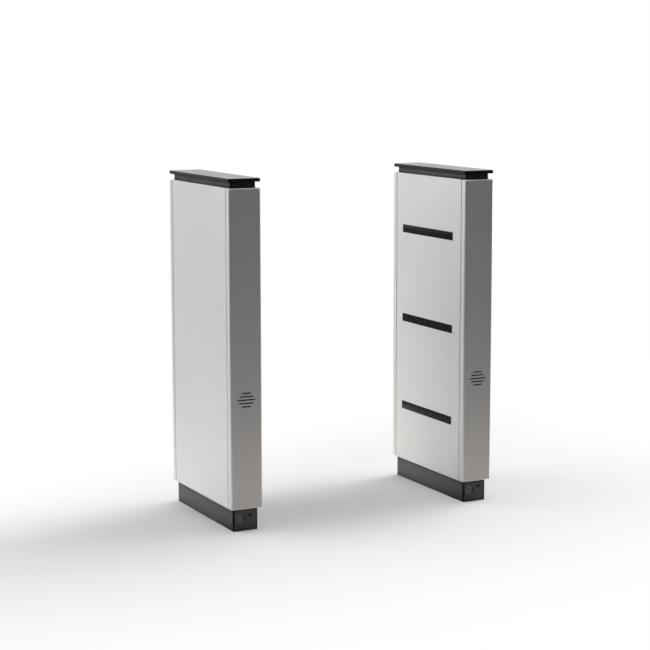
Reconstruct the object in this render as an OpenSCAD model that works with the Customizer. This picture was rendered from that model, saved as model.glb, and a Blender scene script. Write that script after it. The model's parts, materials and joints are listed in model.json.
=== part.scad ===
// Optical turnstile: two slim pedestals that stand on either side of a walking lane.
// +X runs across the lane, +Y along the walk, away from the front, and +Z up.
// The origin lies on the floor, in the middle of the lane. All lengths are in millimetres.

/* [Lane] */
// Clear width between the pedestals' lane faces
lane_width = 661; // [500:1:950]
// Height over the caps
overall_height = 1000; // [960:1:1200]

/* [Cabinet] */
// Width of a cabinet across the lane
cabinet_width = 97; // [90:1:120]
// Length of a cabinet along the walk
cabinet_length = 435; // [412:1:520]
// Outer radius of the covers' upright corners
cabinet_corner_radius = 5; // [4.5:0.5:12]
// Sheet thickness of covers and side panels
skin_thickness = 2; // [1.5:0.1:2.5]
// How far an end cover wraps round onto the long side
cover_return = 22; // [18:1:30]
// Open seam between an end cover and a side panel
seam_gap = 1.3; // [0.6:0.1:1.5]
// Outer radius of the side panels' folded edges
panel_bend_radius = 2.5; // [2:0.1:4]

/* [Plinth and neck] */
// How far plinth and neck stand back from the long sides
core_inset_x = 10; // [9:0.5:13]
// How far plinth and neck stand back from the end faces
core_inset_y = 12; // [11:0.5:15]
// Outer corner radius of plinth and neck
core_corner_radius = 5; // [5:0.5:9]
// Height of the plinth
plinth_height = 65; // [60:1:68]
// Wall thickness of the plinth
plinth_wall = 3; // [2:0.5:3.5]
// Height of the neck between cabinet and cap
neck_height = 17; // [14:0.5:24]
// Wall thickness of the neck
neck_wall = 2.5; // [2:0.1:3]

/* [Cap] */
// Thickness of the cap
cap_thickness = 10; // [9:0.5:14]
// Radius of the cap's rounded edges
cap_edge_radius = 1.2; // [1:0.1:4]
// Thickness of the cap's top
cap_skin = 3; // [2:0.1:3.5]
// How far the cap's rim reaches down inside the neck
cap_rim_depth = 13; // [12.8:0.1:13.5]
// Wall thickness of the cap's rim
cap_rim_wall = 2; // [1.5:0.1:3]
// Distance of the two status lamps from the left cap's rear end
lamp_from_end = 94.5; // [90:0.5:110]
// Distance between the two status lamps
lamp_spacing = 30; // [20:1:36]
// Radius of a status lamp's lens
lamp_radius = 3; // [2:0.1:4]

/* [Sensor windows] */
// Length of a sensor window as a share of the cabinet's length
window_length_share = 0.699; // [0.6:0.001:0.72]
// Height of a sensor window
window_height = 25; // [20:1:32]
// Height of the lowest window's middle as a share of the overall height
window_lowest_share = 0.241; // [0.2:0.001:0.26]
// Upright distance between windows as a share of the overall height
window_pitch_share = 0.28; // [0.25:0.005:0.29]
// How far the windows' middle lies behind the cabinet's middle
window_offset = 4; // [0:0.5:12]
// Lenses in the row behind one window
lenses_per_row = 8; // [4:1:10]

/* [Speaker grille] */
// Height of the grille's middle as a share of the overall height
grille_centre_share = 0.379; // [0.34:0.001:0.4]
// Length of the middle slot
slot_length = 55; // [45:1:60]
// Width of a slot
slot_width = 4; // [3:0.1:5]
// Upright distance between slots
slot_pitch = 9.6; // [8:0.1:11]
// Radius of the speaker
speaker_radius = 28; // [20:1:30]
// Depth of the speaker
speaker_depth = 8; // [6:0.1:9]

/* [Lock and set screws] */
// Distance of the lock's axis from the plinth's corner
lock_from_corner = 21; // [20:0.5:24]
// Height of the lock's axis as a share of the plinth's height
lock_centre_share = 0.575; // [0.5:0.005:0.65]
// Radius of the lock hole in the plinth
lock_hole_radius = 12.5; // [11.5:0.1:14]
// Radius of the lock's housing
lock_housing_radius = 9.5; // [8.5:0.1:10]
// Length of the lock's housing
lock_housing_length = 18; // [15:1:24]
// Radius of the barrel that turns in the housing
lock_barrel_radius = 6; // [5:0.1:7]
// How far the cam reaches above the plinth when the lock is closed
cam_rise = 12; // [9:0.5:13]
// Distance of the plinth's set screw from the other corner
plinth_screw_from_corner = 24; // [20:0.5:26]
// Height of the plinth's set screw as a share of the plinth's height
plinth_screw_share = 0.684; // [0.6:0.004:0.8]
// Radius of the plinth's set screw hole
plinth_screw_hole_radius = 5; // [4:0.1:6]
// Radius of the neck's set screw holes
neck_screw_hole_radius = 3.5; // [2.5:0.1:3.7]

/* [Base plate] */
// Thickness of the base plate
base_thickness = 8; // [6:1:12]
// Distance between anchor holes across the lane
anchor_spacing_x = 44; // [36:1:46]
// Distance between anchor holes along the walk
anchor_spacing_y = 280; // [240:1:300]
// Radius of an anchor hole
anchor_hole_radius = 6.5; // [5:0.5:8]
// Radius of the cable entry inside its grommet
cable_entry_radius = 18; // [14:0.5:20]

/* [Hidden] */
$fn = 48;

// Overrun of every cut past the face that it opens
overrun = 2;
// Clearance of the frame inside the plinth, and of the cap's rim inside the neck
fit_gap = 0.3;
// Clearance round a screw or plug that fills its hole
plug_gap = 0.1;
// Clearance between the barrel and its housing
running_gap = 0.05;

// Half sizes of the cabinet, and of the plinth and neck that stand back from it
cabinet_x = cabinet_width / 2;
cabinet_y = cabinet_length / 2;
core_x = cabinet_x - core_inset_x;
core_y = cabinet_y - core_inset_y;
pedestal_x = lane_width / 2 + cabinet_x;

// Heights, from the top down
cap_bottom = overall_height - cap_thickness;
cabinet_top = cap_bottom - neck_height;
cabinet_height = cabinet_top - plinth_height;
grille_centre = grille_centre_share * overall_height;

// Half sizes and corner of what stands inside the plinth
foot_x = core_x - plinth_wall - fit_gap;
foot_y = core_y - plinth_wall - fit_gap;
foot_corner_radius = core_corner_radius - plinth_wall - fit_gap;

// Posts and head plate
post_wall = 2;
post_depth = 40;
post_inside_x = foot_x - post_wall;
web_back = foot_y - post_wall;
head_thickness = 3;
post_top = cabinet_top - head_thickness;
head_opening_x = 20;
head_margin = 54.5;
head_opening_y = core_y - head_margin;
head_opening_radius = 5;

// Side panels: how far the folded ends reach in, the shoulder's seam, and the ears that take the screws
shoulder_gap = 0.5;
panel_post_gap = 0.8;
panel_end = cabinet_y - cover_return - seam_gap;
panel_inside_x = foot_x + panel_post_gap;
ear_thickness = 2;
ear_height = 20;
ear_outside_x = cabinet_x - 2 * skin_thickness;
panel_screw_radius = 2;
panel_screw_head_radius = 3.6;
panel_screw_head_height = 2.4;
panel_screw_length = 6;
panel_screw_x = (panel_inside_x + cabinet_x - skin_thickness) / 2;
panel_screw_height_shares = [0.08, 0.5, 0.92];

// Front cover: room for its tilt, and the hooks that hang over the posts' top edge
tilt_gap = 1.5;
side_gap = 1;
hook_spacing = 36;
hook_half_width = 10;
hook_thickness = 1.5;
hook_lift = 0.3;
hook_mouth = 2.2;
hook_lip_wall = 2;
hook_lip_length = 6;
hook_notch_gap = 1;
hook_notch_depth = 14;

// Rear cover: spacers and studs through the rear post
stud_spacing = 36;
stud_radius = 2.5;
stud_spacer_radius = 5;
stud_reach = 6;
stud_hole_gap = 0.3;
stud_height_shares = [0.1, 0.9];
nut_radius = 4.6;
nut_height = 4;

// Grille
slot_length_shares = [0.53, 0.8, 1, 0.8, 0.53];
mesh_thickness = 0.8;
mesh_margin = 5;
speaker_rim = 2;
speaker_rim_width = 3;
speaker_magnet_radius = 12;
speaker_dish = 1.5;

// Lock
lock_x = lock_from_corner - core_x;
lock_centre = lock_centre_share * plinth_height;
cam_gap = 0.3;
cam_thickness = 2.5;
cam_half_width = 7;
cam_reach = plinth_height + cam_rise - lock_centre;
lock_flange_thickness = 1.2;
lock_flange_gap = 0.5;
lock_hole_gap = 0.2;
lock_face_recess = 0.3;
lock_back = foot_y - lock_housing_length;
barrel_shoulder = lock_back - cam_gap;
barrel_tail_radius = 4;
barrel_head_radius = 5.5;
barrel_head_height = 1.5;
key_slot_width = 1.6;
key_slot_length = 8;
key_slot_depth = 4;
cam_back = barrel_shoulder - cam_thickness;

// Keeper on the front cover
keeper_half_width = 8;
keeper_wall = 2;
keeper_arm = 3;
keeper_clearance = 1;
keeper_rise = 3;
keeper_lift = 2;
keeper_bottom = plinth_height + keeper_lift;
keeper_arm_bottom = plinth_height + cam_rise + keeper_rise;
keeper_plate = cam_back - keeper_clearance;
keeper_slot_gap = 1.5;

// Set screws of plinth and neck
plinth_screw_x = core_x - plinth_screw_from_corner;
plinth_screw_centre = plinth_screw_share * plinth_height;
plinth_screw_recess = 1.6;
plinth_socket_radius = 2.8;
neck_screw_drop = 9;
neck_screw_z = cap_bottom - neck_screw_drop;
neck_screw_side_share = 0.198;
neck_screw_side_y = neck_screw_side_share * cabinet_length;
neck_screw_recess = 1;
neck_socket_radius = 1.8;
socket_depth = 1.2;
screw_tip_gap = 0.3;

// Cap rim and seal
rim_x = core_x - neck_wall - fit_gap;
rim_y = core_y - neck_wall - fit_gap;
rim_corner_radius = core_corner_radius - neck_wall - fit_gap;
seal_width = 1.6;
seal_height = 1;

// Status lamps and card reader in the left cap
lamp_y = cabinet_y - lamp_from_end;
lamp_flange_width = 1.5;
lamp_flange_height = 2;
reader_length = 56;
reader_half_width = 27;
reader_height = 10;
reader_gap = 8;

// Sensor windows, rails, boards and lenses
window_count = 3;
window_length = window_length_share * cabinet_length;
window_lowest = window_lowest_share * overall_height;
window_pitch = window_pitch_share * overall_height;
window_gap = 0.15;
window_recess = 0.2;
window_flange = 6;
window_flange_thickness = 2;
rail_half_height = 20;
rail_end_gap = 9;
rail_half_length = web_back - rail_end_gap;
rail_wall = 2;
rail_lip = 6;
board_thickness = 1.6;
board_spacer = 3.3;
board_spacer_radius = 2.5;
board_half_height = 11;
board_end_gap = 4;
board_back = post_inside_x + board_spacer;
board_front = board_back + board_thickness;
board_half_length = window_length / 2 - board_end_gap;
lens_radius = 2.5;
lens_gap = 0.3;

// Mounting plate and what it carries
plate_thickness = 2;
plate_end_gap = 14;
plate_half_length = web_back - plate_end_gap;
plate_plinth_gap = 30;
plate_bottom = plinth_height + plate_plinth_gap;
plate_top_gap = 70;
plate_face = post_inside_x - plate_thickness;
circuit_spacer = 8;
circuit_spacer_radius = 3;
circuit_bottom_share = 0.33;
circuit_bottom = circuit_bottom_share * overall_height;
controller_end_gap = 85;
controller_length = 2 * (plate_half_length - controller_end_gap);
controller_height_share = 0.23;
controller_height = controller_height_share * overall_height;
driver_end_gap = 110;
driver_length = 2 * (plate_half_length - driver_end_gap);
driver_height_share = 0.16;
driver_height = driver_height_share * overall_height;
circuit_margin = 8;
connector_share = 0.6;
connector_depth = 9;
connector_height = 12;
connector_count = 5;
relay_share = 0.28;
relay_height = 20;
relay_depth = 15;
relay_count = 3;
chip_size = 24;
chip_depth = 2;
can_radius = 8;
can_height = 16;
supply_length = 98;
supply_height = 160;
supply_depth = 38;
supply_end_gap = 45;
supply_front = supply_end_gap - plate_half_length;
supply_floor_gap = 15;
supply_bottom = plate_bottom + supply_floor_gap;
supply_wall = 1.2;
vent_length = 60;
vent_width = 3;
vent_pitch = 10;
vent_count = 9;
terminal_gap_to_supply = 22;
terminal_front = supply_front + supply_length + terminal_gap_to_supply;
terminal_count = 18;
terminal_pitch = 6;
terminal_gap = 0.6;
terminal_height = 45;
terminal_depth = 30;
terminal_floor_gap = 35;
terminal_bottom = plate_bottom + terminal_floor_gap;
terminal_step = 12;
loom_radius = 4;
loom_end_gap = 45;
loom_y = plate_half_length - loom_end_gap;
loom_floor_gap = 95;
loom_bottom = plate_bottom + loom_floor_gap;
loom_top_gap = 80;
loom_gap = 0.3;
branch_radius = 2;

// Cable grommet and earth stud on the base plate
grommet_wall = 2;
grommet_flange = 6;
grommet_thickness = 2;
grommet_foot_gap = 0.5;
earth_x = 12;
earth_y = 95;
earth_radius = 3;
earth_height = 20;
earth_nut_radius = 5.8;
earth_nut_height = 5;
earth_washer_radius = 7;
earth_washer_height = 1.2;

silver = [0.72, 0.72, 0.70];
black = [0.10, 0.10, 0.11];
steel = [0.55, 0.57, 0.58];
dark_window = [0.05, 0.05, 0.06];
board_green = [0.06, 0.30, 0.16];
brass = [0.80, 0.65, 0.30];
pale_plastic = [0.70, 0.72, 0.70];
red = [0.75, 0.08, 0.06];

function window_heights() = [for (i = [0:window_count - 1]) window_lowest + i * window_pitch];
function screw_heights() = [for (s = panel_screw_height_shares) plinth_height + s * cabinet_height];
function stud_heights() = [for (s = stud_height_shares) plinth_height + s * cabinet_height];

// Placing

// Puts a piece at the left pedestal, whose lane side faces +X
module at_left() {
    translate([-pedestal_x, 0, 0]) children();
}

// Puts a piece at the right pedestal, turned the same way as the left one
module at_right() {
    translate([pedestal_x, 0, 0]) children();
}

// Puts a piece at the right pedestal, mirrored so that its lane side faces -X
module facing_right() {
    at_right() mirror([1, 0, 0]) children();
}

// Repeats an end detail at the rear, turned half round
module both_ends() {
    children();
    rotate([0, 0, 180]) children();
}

// Repeats a detail on the other long side
module both_sides() {
    children();
    mirror([1, 0, 0]) children();
}

// A rod along +Y between two places
module rod_y(radius, from, to) {
    translate([0, from, 0]) rotate([-90, 0, 0]) cylinder(r = radius, h = to - from);
}

// A rod along +X between two places
module rod_x(radius, from, to) {
    translate([from, 0, 0]) rotate([0, 90, 0]) cylinder(r = radius, h = to - from);
}

// A block between two corners
module block(low, high) {
    translate(low) cube(high - low);
}

// Outline with round corners, given by its half sizes
module round_rect(x, y, radius) {
    square([2 * (x - radius), 2 * y], center = true);
    square([2 * x, 2 * (y - radius)], center = true);
    for (sx = [-1, 1], sy = [-1, 1])
        translate([sx * (x - radius), sy * (y - radius)]) circle(r = radius);
}

// Upright wall that follows such an outline
module ring(x, y, radius, wall, height) {
    linear_extrude(height) difference() {
        round_rect(x, y, radius);
        round_rect(x - wall, y - wall, radius - wall);
    }
}

// Base, plinth and frame

module base_plate() {
    linear_extrude(base_thickness) difference() {
        round_rect(foot_x, foot_y, foot_corner_radius);
        for (sx = [-1, 1], sy = [-1, 1])
            translate([sx * anchor_spacing_x / 2, sy * anchor_spacing_y / 2])
                circle(r = anchor_hole_radius);
        circle(r = cable_entry_radius + grommet_wall + plug_gap);
    }
}

module plinth() {
    difference() {
        ring(core_x, core_y, core_corner_radius, plinth_wall, plinth_height);
        both_ends() {
            translate([lock_x, 0, lock_centre])
                rod_y(lock_hole_radius, -core_y - overrun, -core_y + plinth_wall + overrun);
            translate([plinth_screw_x, 0, plinth_screw_centre])
                rod_y(plinth_screw_hole_radius, -core_y - overrun, -core_y + plinth_wall + overrun);
        }
    }
}

// Folded channel at the front end, with ears for the side panels' screws
module post() {
    difference() {
        union() {
            translate([0, 0, base_thickness]) linear_extrude(post_top - base_thickness) post_outline();
            both_sides() post_ears();
        }
        translate([lock_x, 0, lock_centre])
            rod_y(lock_housing_radius + lock_hole_gap, -foot_y - overrun, -web_back + overrun);
        both_sides() for (z = screw_heights()) translate([panel_screw_x, 0, z])
            rod_y(panel_screw_radius + plug_gap, -panel_end - overrun, -panel_end + post_depth);
    }
}

module post_outline() {
    difference() {
        intersection() {
            round_rect(foot_x, foot_y, foot_corner_radius);
            translate([-foot_x, -foot_y]) square([2 * foot_x, post_depth]);
        }
        translate([-post_inside_x, -web_back]) square([2 * post_inside_x, post_depth]);
    }
}

module post_ears() {
    for (z = screw_heights())
        block([post_inside_x, -panel_end + skin_thickness, z - ear_height / 2],
              [ear_outside_x, -panel_end + skin_thickness + ear_thickness, z + ear_height / 2]);
}

module front_post() {
    difference() {
        post();
        slot_x = keeper_half_width + keeper_slot_gap;
        block([lock_x - slot_x, -foot_y - overrun, keeper_bottom - keeper_slot_gap],
              [lock_x + slot_x, -web_back + overrun, keeper_arm_bottom + keeper_arm + keeper_slot_gap]);
    }
}

module rear_post() {
    difference() {
        rotate([0, 0, 180]) post();
        for (sx = [-1, 1], z = stud_heights()) translate([sx * stud_spacing / 2, 0, z])
            rod_y(stud_radius + stud_hole_gap, web_back - overrun, foot_y + overrun);
    }
}

module head_plate() {
    translate([0, 0, post_top]) linear_extrude(head_thickness) difference() {
        round_rect(core_x, core_y, core_corner_radius);
        round_rect(head_opening_x, head_opening_y, head_opening_radius);
        for (sx = [-1, 1])
            translate([sx * hook_spacing / 2 - hook_half_width - hook_notch_gap, -core_y - overrun])
                square([2 * (hook_half_width + hook_notch_gap), hook_notch_depth + overrun]);
    }
}

module mounting_plate() {
    block([-post_inside_x, -plate_half_length, plate_bottom],
          [-plate_face, plate_half_length, cabinet_top - plate_top_gap]);
}

// End covers

// Sheet that wraps one end, with a shoulder at the top and a lip at the bottom
module cover_sheet() {
    translate([0, 0, plinth_height]) linear_extrude(cabinet_height) difference() {
        cover_area();
        round_rect(cabinet_x - skin_thickness, cabinet_y - skin_thickness,
                   cabinet_corner_radius - skin_thickness);
    }
    for (z = [plinth_height, cabinet_top - skin_thickness])
        translate([0, 0, z]) linear_extrude(skin_thickness) difference() {
            cover_area();
            square([2 * (core_x + side_gap), 2 * (core_y + tilt_gap)], center = true);
        }
}

module cover_area() {
    intersection() {
        round_rect(cabinet_x, cabinet_y, cabinet_corner_radius);
        translate([-cabinet_x, -cabinet_y]) square([cabinet_width, cover_return]);
    }
}

// Five slots whose lengths make a hexagon
module grille_slots() {
    count = len(slot_length_shares);
    for (i = [0:count - 1])
        translate([0, -cabinet_y - overrun, grille_centre + (i - (count - 1) / 2) * slot_pitch])
            rotate([-90, 0, 0]) linear_extrude(skin_thickness + 2 * overrun)
                slot(slot_length * slot_length_shares[i]);
}

module slot(length) {
    square([length - slot_width, slot_width], center = true);
    for (sx = [-1, 1]) translate([sx * (length - slot_width) / 2, 0]) circle(r = slot_width / 2);
}

module front_cover() {
    difference() {
        cover_sheet();
        grille_slots();
    }
    for (sx = [-1, 1]) translate([sx * hook_spacing / 2, 0, 0]) cover_hook();
}

// Tongue that lies over the front post's top edge, with a lip behind it
module cover_hook() {
    lip_front = -web_back + hook_mouth;
    tongue_bottom = post_top + hook_lift;
    block([-hook_half_width, -cabinet_y + skin_thickness / 2, tongue_bottom],
          [hook_half_width, lip_front + hook_lip_wall, tongue_bottom + hook_thickness]);
    block([-hook_half_width, lip_front, tongue_bottom - hook_lip_length],
          [hook_half_width, lip_front + hook_lip_wall, tongue_bottom + hook_thickness]);
}

module rear_cover() {
    difference() {
        rotate([0, 0, 180]) cover_sheet();
        rotate([0, 0, 180]) grille_slots();
    }
    for (sx = [-1, 1], z = stud_heights()) translate([sx * stud_spacing / 2, 0, z]) {
        rod_y(stud_radius, web_back - stud_reach, cabinet_y - skin_thickness / 2);
        rod_y(stud_spacer_radius, foot_y, cabinet_y - skin_thickness / 2);
    }
}

module rear_cover_nuts() {
    for (sx = [-1, 1], z = stud_heights()) translate([sx * stud_spacing / 2, 0, z]) difference() {
        translate([0, web_back, 0]) rotate([90, 0, 0]) cylinder(r = nut_radius, h = nut_height, $fn = 6);
        rod_y(stud_radius + running_gap, web_back - nut_height - overrun, web_back + overrun);
    }
}

// Fine mesh behind the slots of the front end
module mesh() {
    half_x = slot_length / 2 + mesh_margin;
    half_z = len(slot_length_shares) * slot_pitch / 2 + mesh_margin;
    block([-half_x, -cabinet_y + skin_thickness, grille_centre - half_z],
          [half_x, -cabinet_y + skin_thickness + mesh_thickness, grille_centre + half_z]);
}

module speaker() {
    front = cabinet_y - skin_thickness - mesh_thickness;
    translate([0, -front, grille_centre]) rotate([-90, 0, 0]) rotate_extrude() polygon([
        [0, speaker_dish],
        [speaker_magnet_radius, speaker_dish],
        [speaker_radius - speaker_rim_width, 0],
        [speaker_radius, 0],
        [speaker_radius, speaker_rim],
        [speaker_magnet_radius, speaker_depth / 2],
        [speaker_magnet_radius, speaker_depth],
        [0, speaker_depth]
    ]);
}

module lock_keeper() {
    top = keeper_arm_bottom + keeper_arm;
    translate([lock_x, 0, 0]) {
        block([-keeper_half_width, -cabinet_y + skin_thickness, keeper_bottom + keeper_lift],
              [keeper_half_width, -cabinet_y + skin_thickness + keeper_wall, top]);
        block([-keeper_half_width, -cabinet_y + skin_thickness, keeper_arm_bottom],
              [keeper_half_width, -keeper_plate + keeper_wall, top]);
        block([-keeper_half_width, -keeper_plate, keeper_bottom],
              [keeper_half_width, -keeper_plate + keeper_wall, top]);
    }
}

// Lock

module lock_housing() {
    translate([lock_x, 0, lock_centre]) difference() {
        union() {
            rod_y(lock_hole_radius - lock_flange_gap, -foot_y - lock_flange_thickness, -foot_y);
            rod_y(lock_housing_radius, -foot_y - lock_flange_thickness, -lock_back);
        }
        rod_y(lock_barrel_radius + running_gap,
              -foot_y - lock_flange_thickness - overrun, -lock_back + overrun);
    }
}

module lock_barrel() {
    face = foot_y + lock_flange_thickness - lock_face_recess;
    translate([lock_x, 0, lock_centre]) difference() {
        union() {
            rod_y(lock_barrel_radius, -face, -barrel_shoulder);
            rod_y(barrel_tail_radius, -face, -cam_back + barrel_head_height);
            rod_y(barrel_head_radius, -cam_back, -cam_back + barrel_head_height);
        }
        block([-key_slot_width / 2, -face - overrun, -key_slot_length / 2],
              [key_slot_width / 2, -face + key_slot_depth, key_slot_length / 2]);
    }
}

// Flat cam on the barrel's tail, pointing across the plinth when the lock is open
module lock_cam() {
    translate([lock_x, -barrel_shoulder, lock_centre]) rotate([90, 0, 0]) mirror([0, 0, 1])
        linear_extrude(cam_thickness) difference() {
            union() {
                circle(r = cam_half_width);
                translate([0, -cam_half_width]) square([cam_reach - cam_half_width, 2 * cam_half_width]);
                translate([cam_reach - cam_half_width, 0]) circle(r = cam_half_width);
            }
            circle(r = barrel_tail_radius + running_gap);
        }
}

module blanking_plug() {
    rotate([0, 0, 180]) translate([lock_x, 0, lock_centre]) {
        rod_y(lock_hole_radius - plug_gap, -foot_y - lock_flange_thickness, -foot_y);
        rod_y(lock_housing_radius, -foot_y - lock_flange_thickness, -web_back + post_wall);
    }
}

// Side panels

// Outline of a side panel's folded sheet, drawn on the +X side
module panel_area() {
    bend_x = cabinet_x - panel_bend_radius;
    bend_y = panel_end - panel_bend_radius;
    translate([panel_inside_x, -panel_end]) square([bend_x - panel_inside_x, 2 * panel_end]);
    translate([panel_inside_x, -bend_y]) square([cabinet_x - panel_inside_x, 2 * bend_y]);
    for (sy = [-1, 1]) translate([bend_x, sy * bend_y]) circle(r = panel_bend_radius);
}

module side_panel() {
    panel_inner_end = panel_end - skin_thickness;
    difference() {
        union() {
            translate([0, 0, plinth_height]) linear_extrude(cabinet_height) difference() {
                panel_area();
                translate([panel_inside_x - overrun, -panel_inner_end])
                    square([cabinet_x - skin_thickness - panel_inside_x + overrun, 2 * panel_inner_end]);
            }
            for (z = [plinth_height, cabinet_top - skin_thickness])
                translate([0, 0, z]) linear_extrude(skin_thickness) panel_area();
        }
        block([panel_inside_x - overrun, -cabinet_y, post_top - shoulder_gap],
              [core_x + shoulder_gap, cabinet_y, cabinet_top + overrun]);
        for (z = screw_heights()) translate([panel_screw_x, 0, z])
            rod_y(panel_screw_radius + plug_gap, -cabinet_y, cabinet_y);
    }
}

module inner_panel() {
    difference() {
        side_panel();
        for (z = window_heights()) translate([cabinet_x, window_offset, z])
            cube([2 * (skin_thickness + overrun), window_length, window_height], center = true);
    }
}

module panel_screw() {
    rod_y(panel_screw_head_radius, -panel_end - panel_screw_head_height, -panel_end);
    rod_y(panel_screw_radius, -panel_end - panel_screw_head_height, -panel_end + panel_screw_length);
}

// Screws that hold one side panel, heads towards the ends
module side_panel_screws() {
    for (z = screw_heights()) translate([panel_screw_x, 0, z]) {
        panel_screw();
        mirror([0, 1, 0]) panel_screw();
    }
}

// Sensors, drawn for a lane side that faces +X

module sensor_windows() {
    half_length = window_length / 2;
    half_height = window_height / 2;
    inner_face = cabinet_x - skin_thickness;
    back = inner_face - window_flange_thickness;
    for (z = window_heights()) translate([0, window_offset, z]) {
        block([back, -half_length - window_flange, -half_height - window_flange],
              [inner_face, half_length + window_flange, half_height + window_flange]);
        block([back, -half_length + window_gap, -half_height + window_gap],
              [cabinet_x - window_recess, half_length - window_gap, half_height - window_gap]);
    }
}

module sensor_rails() {
    back = post_inside_x - rail_wall;
    for (z = window_heights()) translate([0, 0, z]) {
        block([back, -rail_half_length, -rail_half_height],
              [post_inside_x, rail_half_length, rail_half_height]);
        for (low = [-rail_half_height, rail_half_height - rail_wall])
            block([back - rail_lip, -rail_half_length, low],
                  [post_inside_x, rail_half_length, low + rail_wall]);
    }
}

module sensor_board_set() {
    for (z = window_heights()) translate([0, window_offset, z]) {
        block([board_back, -board_half_length, -board_half_height],
              [board_front, board_half_length, board_half_height]);
        for (sy = [-1, 1]) translate([0, sy * (board_half_length - circuit_margin), 0])
            rod_x(board_spacer_radius, post_inside_x, board_front);
    }
}

module sensor_lens_set() {
    pitch = 2 * board_half_length / lenses_per_row;
    lens_tip = cabinet_x - skin_thickness - window_flange_thickness - lens_gap;
    for (z = window_heights(), i = [0:lenses_per_row - 1])
        translate([0, window_offset + (i - (lenses_per_row - 1) / 2) * pitch, z])
            rod_x(lens_radius, board_front, lens_tip);
}

// Neck and cap

module neck() {
    difference() {
        translate([0, 0, cabinet_top]) ring(core_x, core_y, core_corner_radius, neck_wall, neck_height);
        both_ends() translate([0, 0, neck_screw_z]) {
            rod_y(neck_screw_hole_radius, -core_y - overrun, -core_y + neck_wall + overrun);
            translate([0, neck_screw_side_y, 0])
                rod_x(neck_screw_hole_radius, -core_x - overrun, -core_x + neck_wall + overrun);
        }
    }
}

module neck_screw_set() {
    radius = neck_screw_hole_radius - plug_gap;
    both_ends() translate([0, 0, neck_screw_z]) {
        difference() {
            rod_y(radius, -core_y + neck_screw_recess, -rim_y - screw_tip_gap);
            translate([0, -core_y, 0]) rotate([-90, 0, 0])
                cylinder(r = neck_socket_radius, h = neck_screw_recess + socket_depth, $fn = 6);
        }
        translate([0, neck_screw_side_y, 0]) difference() {
            rod_x(radius, -core_x + neck_screw_recess, -rim_x - screw_tip_gap);
            translate([-core_x, 0, 0]) rotate([0, 90, 0])
                cylinder(r = neck_socket_radius, h = neck_screw_recess + socket_depth, $fn = 6);
        }
    }
}

module plinth_screw_set() {
    both_ends() translate([plinth_screw_x, 0, plinth_screw_centre]) difference() {
        rod_y(plinth_screw_hole_radius - plug_gap, -core_y + plinth_screw_recess, -foot_y);
        translate([0, -core_y, 0]) rotate([-90, 0, 0])
            cylinder(r = plinth_socket_radius, h = plinth_screw_recess + socket_depth, $fn = 6);
    }
}

// Plate with round corners and round upper and lower edges, standing on z = 0
module soft_plate(x, y, corner, edge, height) {
    for (sx = [-1, 1], sy = [-1, 1]) translate([sx * (x - corner), sy * (y - corner), 0])
        rotate_extrude() intersection() {
            soft_outline(corner, edge, height);
            square([corner, height]);
        }
    rotate([90, 0, 0]) linear_extrude(2 * (y - corner), center = true) soft_outline(x, edge, height);
    rotate([90, 0, 90]) linear_extrude(2 * (x - corner), center = true) soft_outline(y, edge, height);
}

module soft_outline(half, edge, height) {
    translate([-half + edge, 0]) square([2 * (half - edge), height]);
    translate([-half, edge]) square([2 * half, height - 2 * edge]);
    for (sx = [-1, 1], z = [edge, height - edge]) translate([sx * (half - edge), z]) circle(r = edge);
}

module cap() {
    pocket_height = cap_thickness - cap_skin + cap_rim_depth;
    translate([0, 0, cap_bottom]) difference() {
        union() {
            soft_plate(cabinet_x, cabinet_y, cabinet_corner_radius, cap_edge_radius, cap_thickness);
            translate([0, 0, -cap_rim_depth]) linear_extrude(cap_rim_depth + cap_edge_radius)
                round_rect(rim_x, rim_y, rim_corner_radius);
        }
        translate([0, 0, -cap_rim_depth - overrun]) linear_extrude(pocket_height + overrun)
            square([2 * (rim_x - cap_rim_wall), 2 * (rim_y - cap_rim_wall)], center = true);
        translate([0, 0, -overrun]) seal_ring(seal_height + overrun, plug_gap);
    }
}

// Ring that lies on the middle of the neck's wall, or the groove for it
module seal_ring(height, gap) {
    inset = (neck_wall - seal_width) / 2 - gap;
    ring(core_x - inset, core_y - inset, core_corner_radius - inset, seal_width + 2 * gap, height);
}

module cap_seal() {
    translate([0, 0, cap_bottom]) seal_ring(seal_height, 0);
}

module lamp_places() {
    for (sx = [-1, 1]) translate([sx * lamp_spacing / 2, lamp_y, 0]) children();
}

module lamp_cap() {
    difference() {
        cap();
        lamp_places() translate([0, 0, overall_height - cap_skin - overrun])
            cylinder(r = lamp_radius + plug_gap, h = cap_skin + 2 * overrun);
    }
}

module status_lamps() {
    lamp_places() translate([0, 0, overall_height - cap_skin]) {
        translate([0, 0, -lamp_flange_height]) cylinder(r = lamp_radius, h = cap_skin + lamp_flange_height);
        translate([0, 0, -lamp_flange_height])
            cylinder(r = lamp_radius + lamp_flange_width, h = lamp_flange_height);
    }
}

module card_reader() {
    front = lamp_y + reader_gap;
    top = overall_height - cap_skin;
    block([-reader_half_width, front, top - reader_height],
          [reader_half_width, front + reader_length, top]);
}

// Electrics on the mounting plate, which stands on the -X side

// Repeats a piece at equal steps along the walk
module row_along(count, pitch) {
    for (i = [0:count - 1]) translate([0, (i - (count - 1) / 2) * pitch, 0]) children();
}

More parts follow.
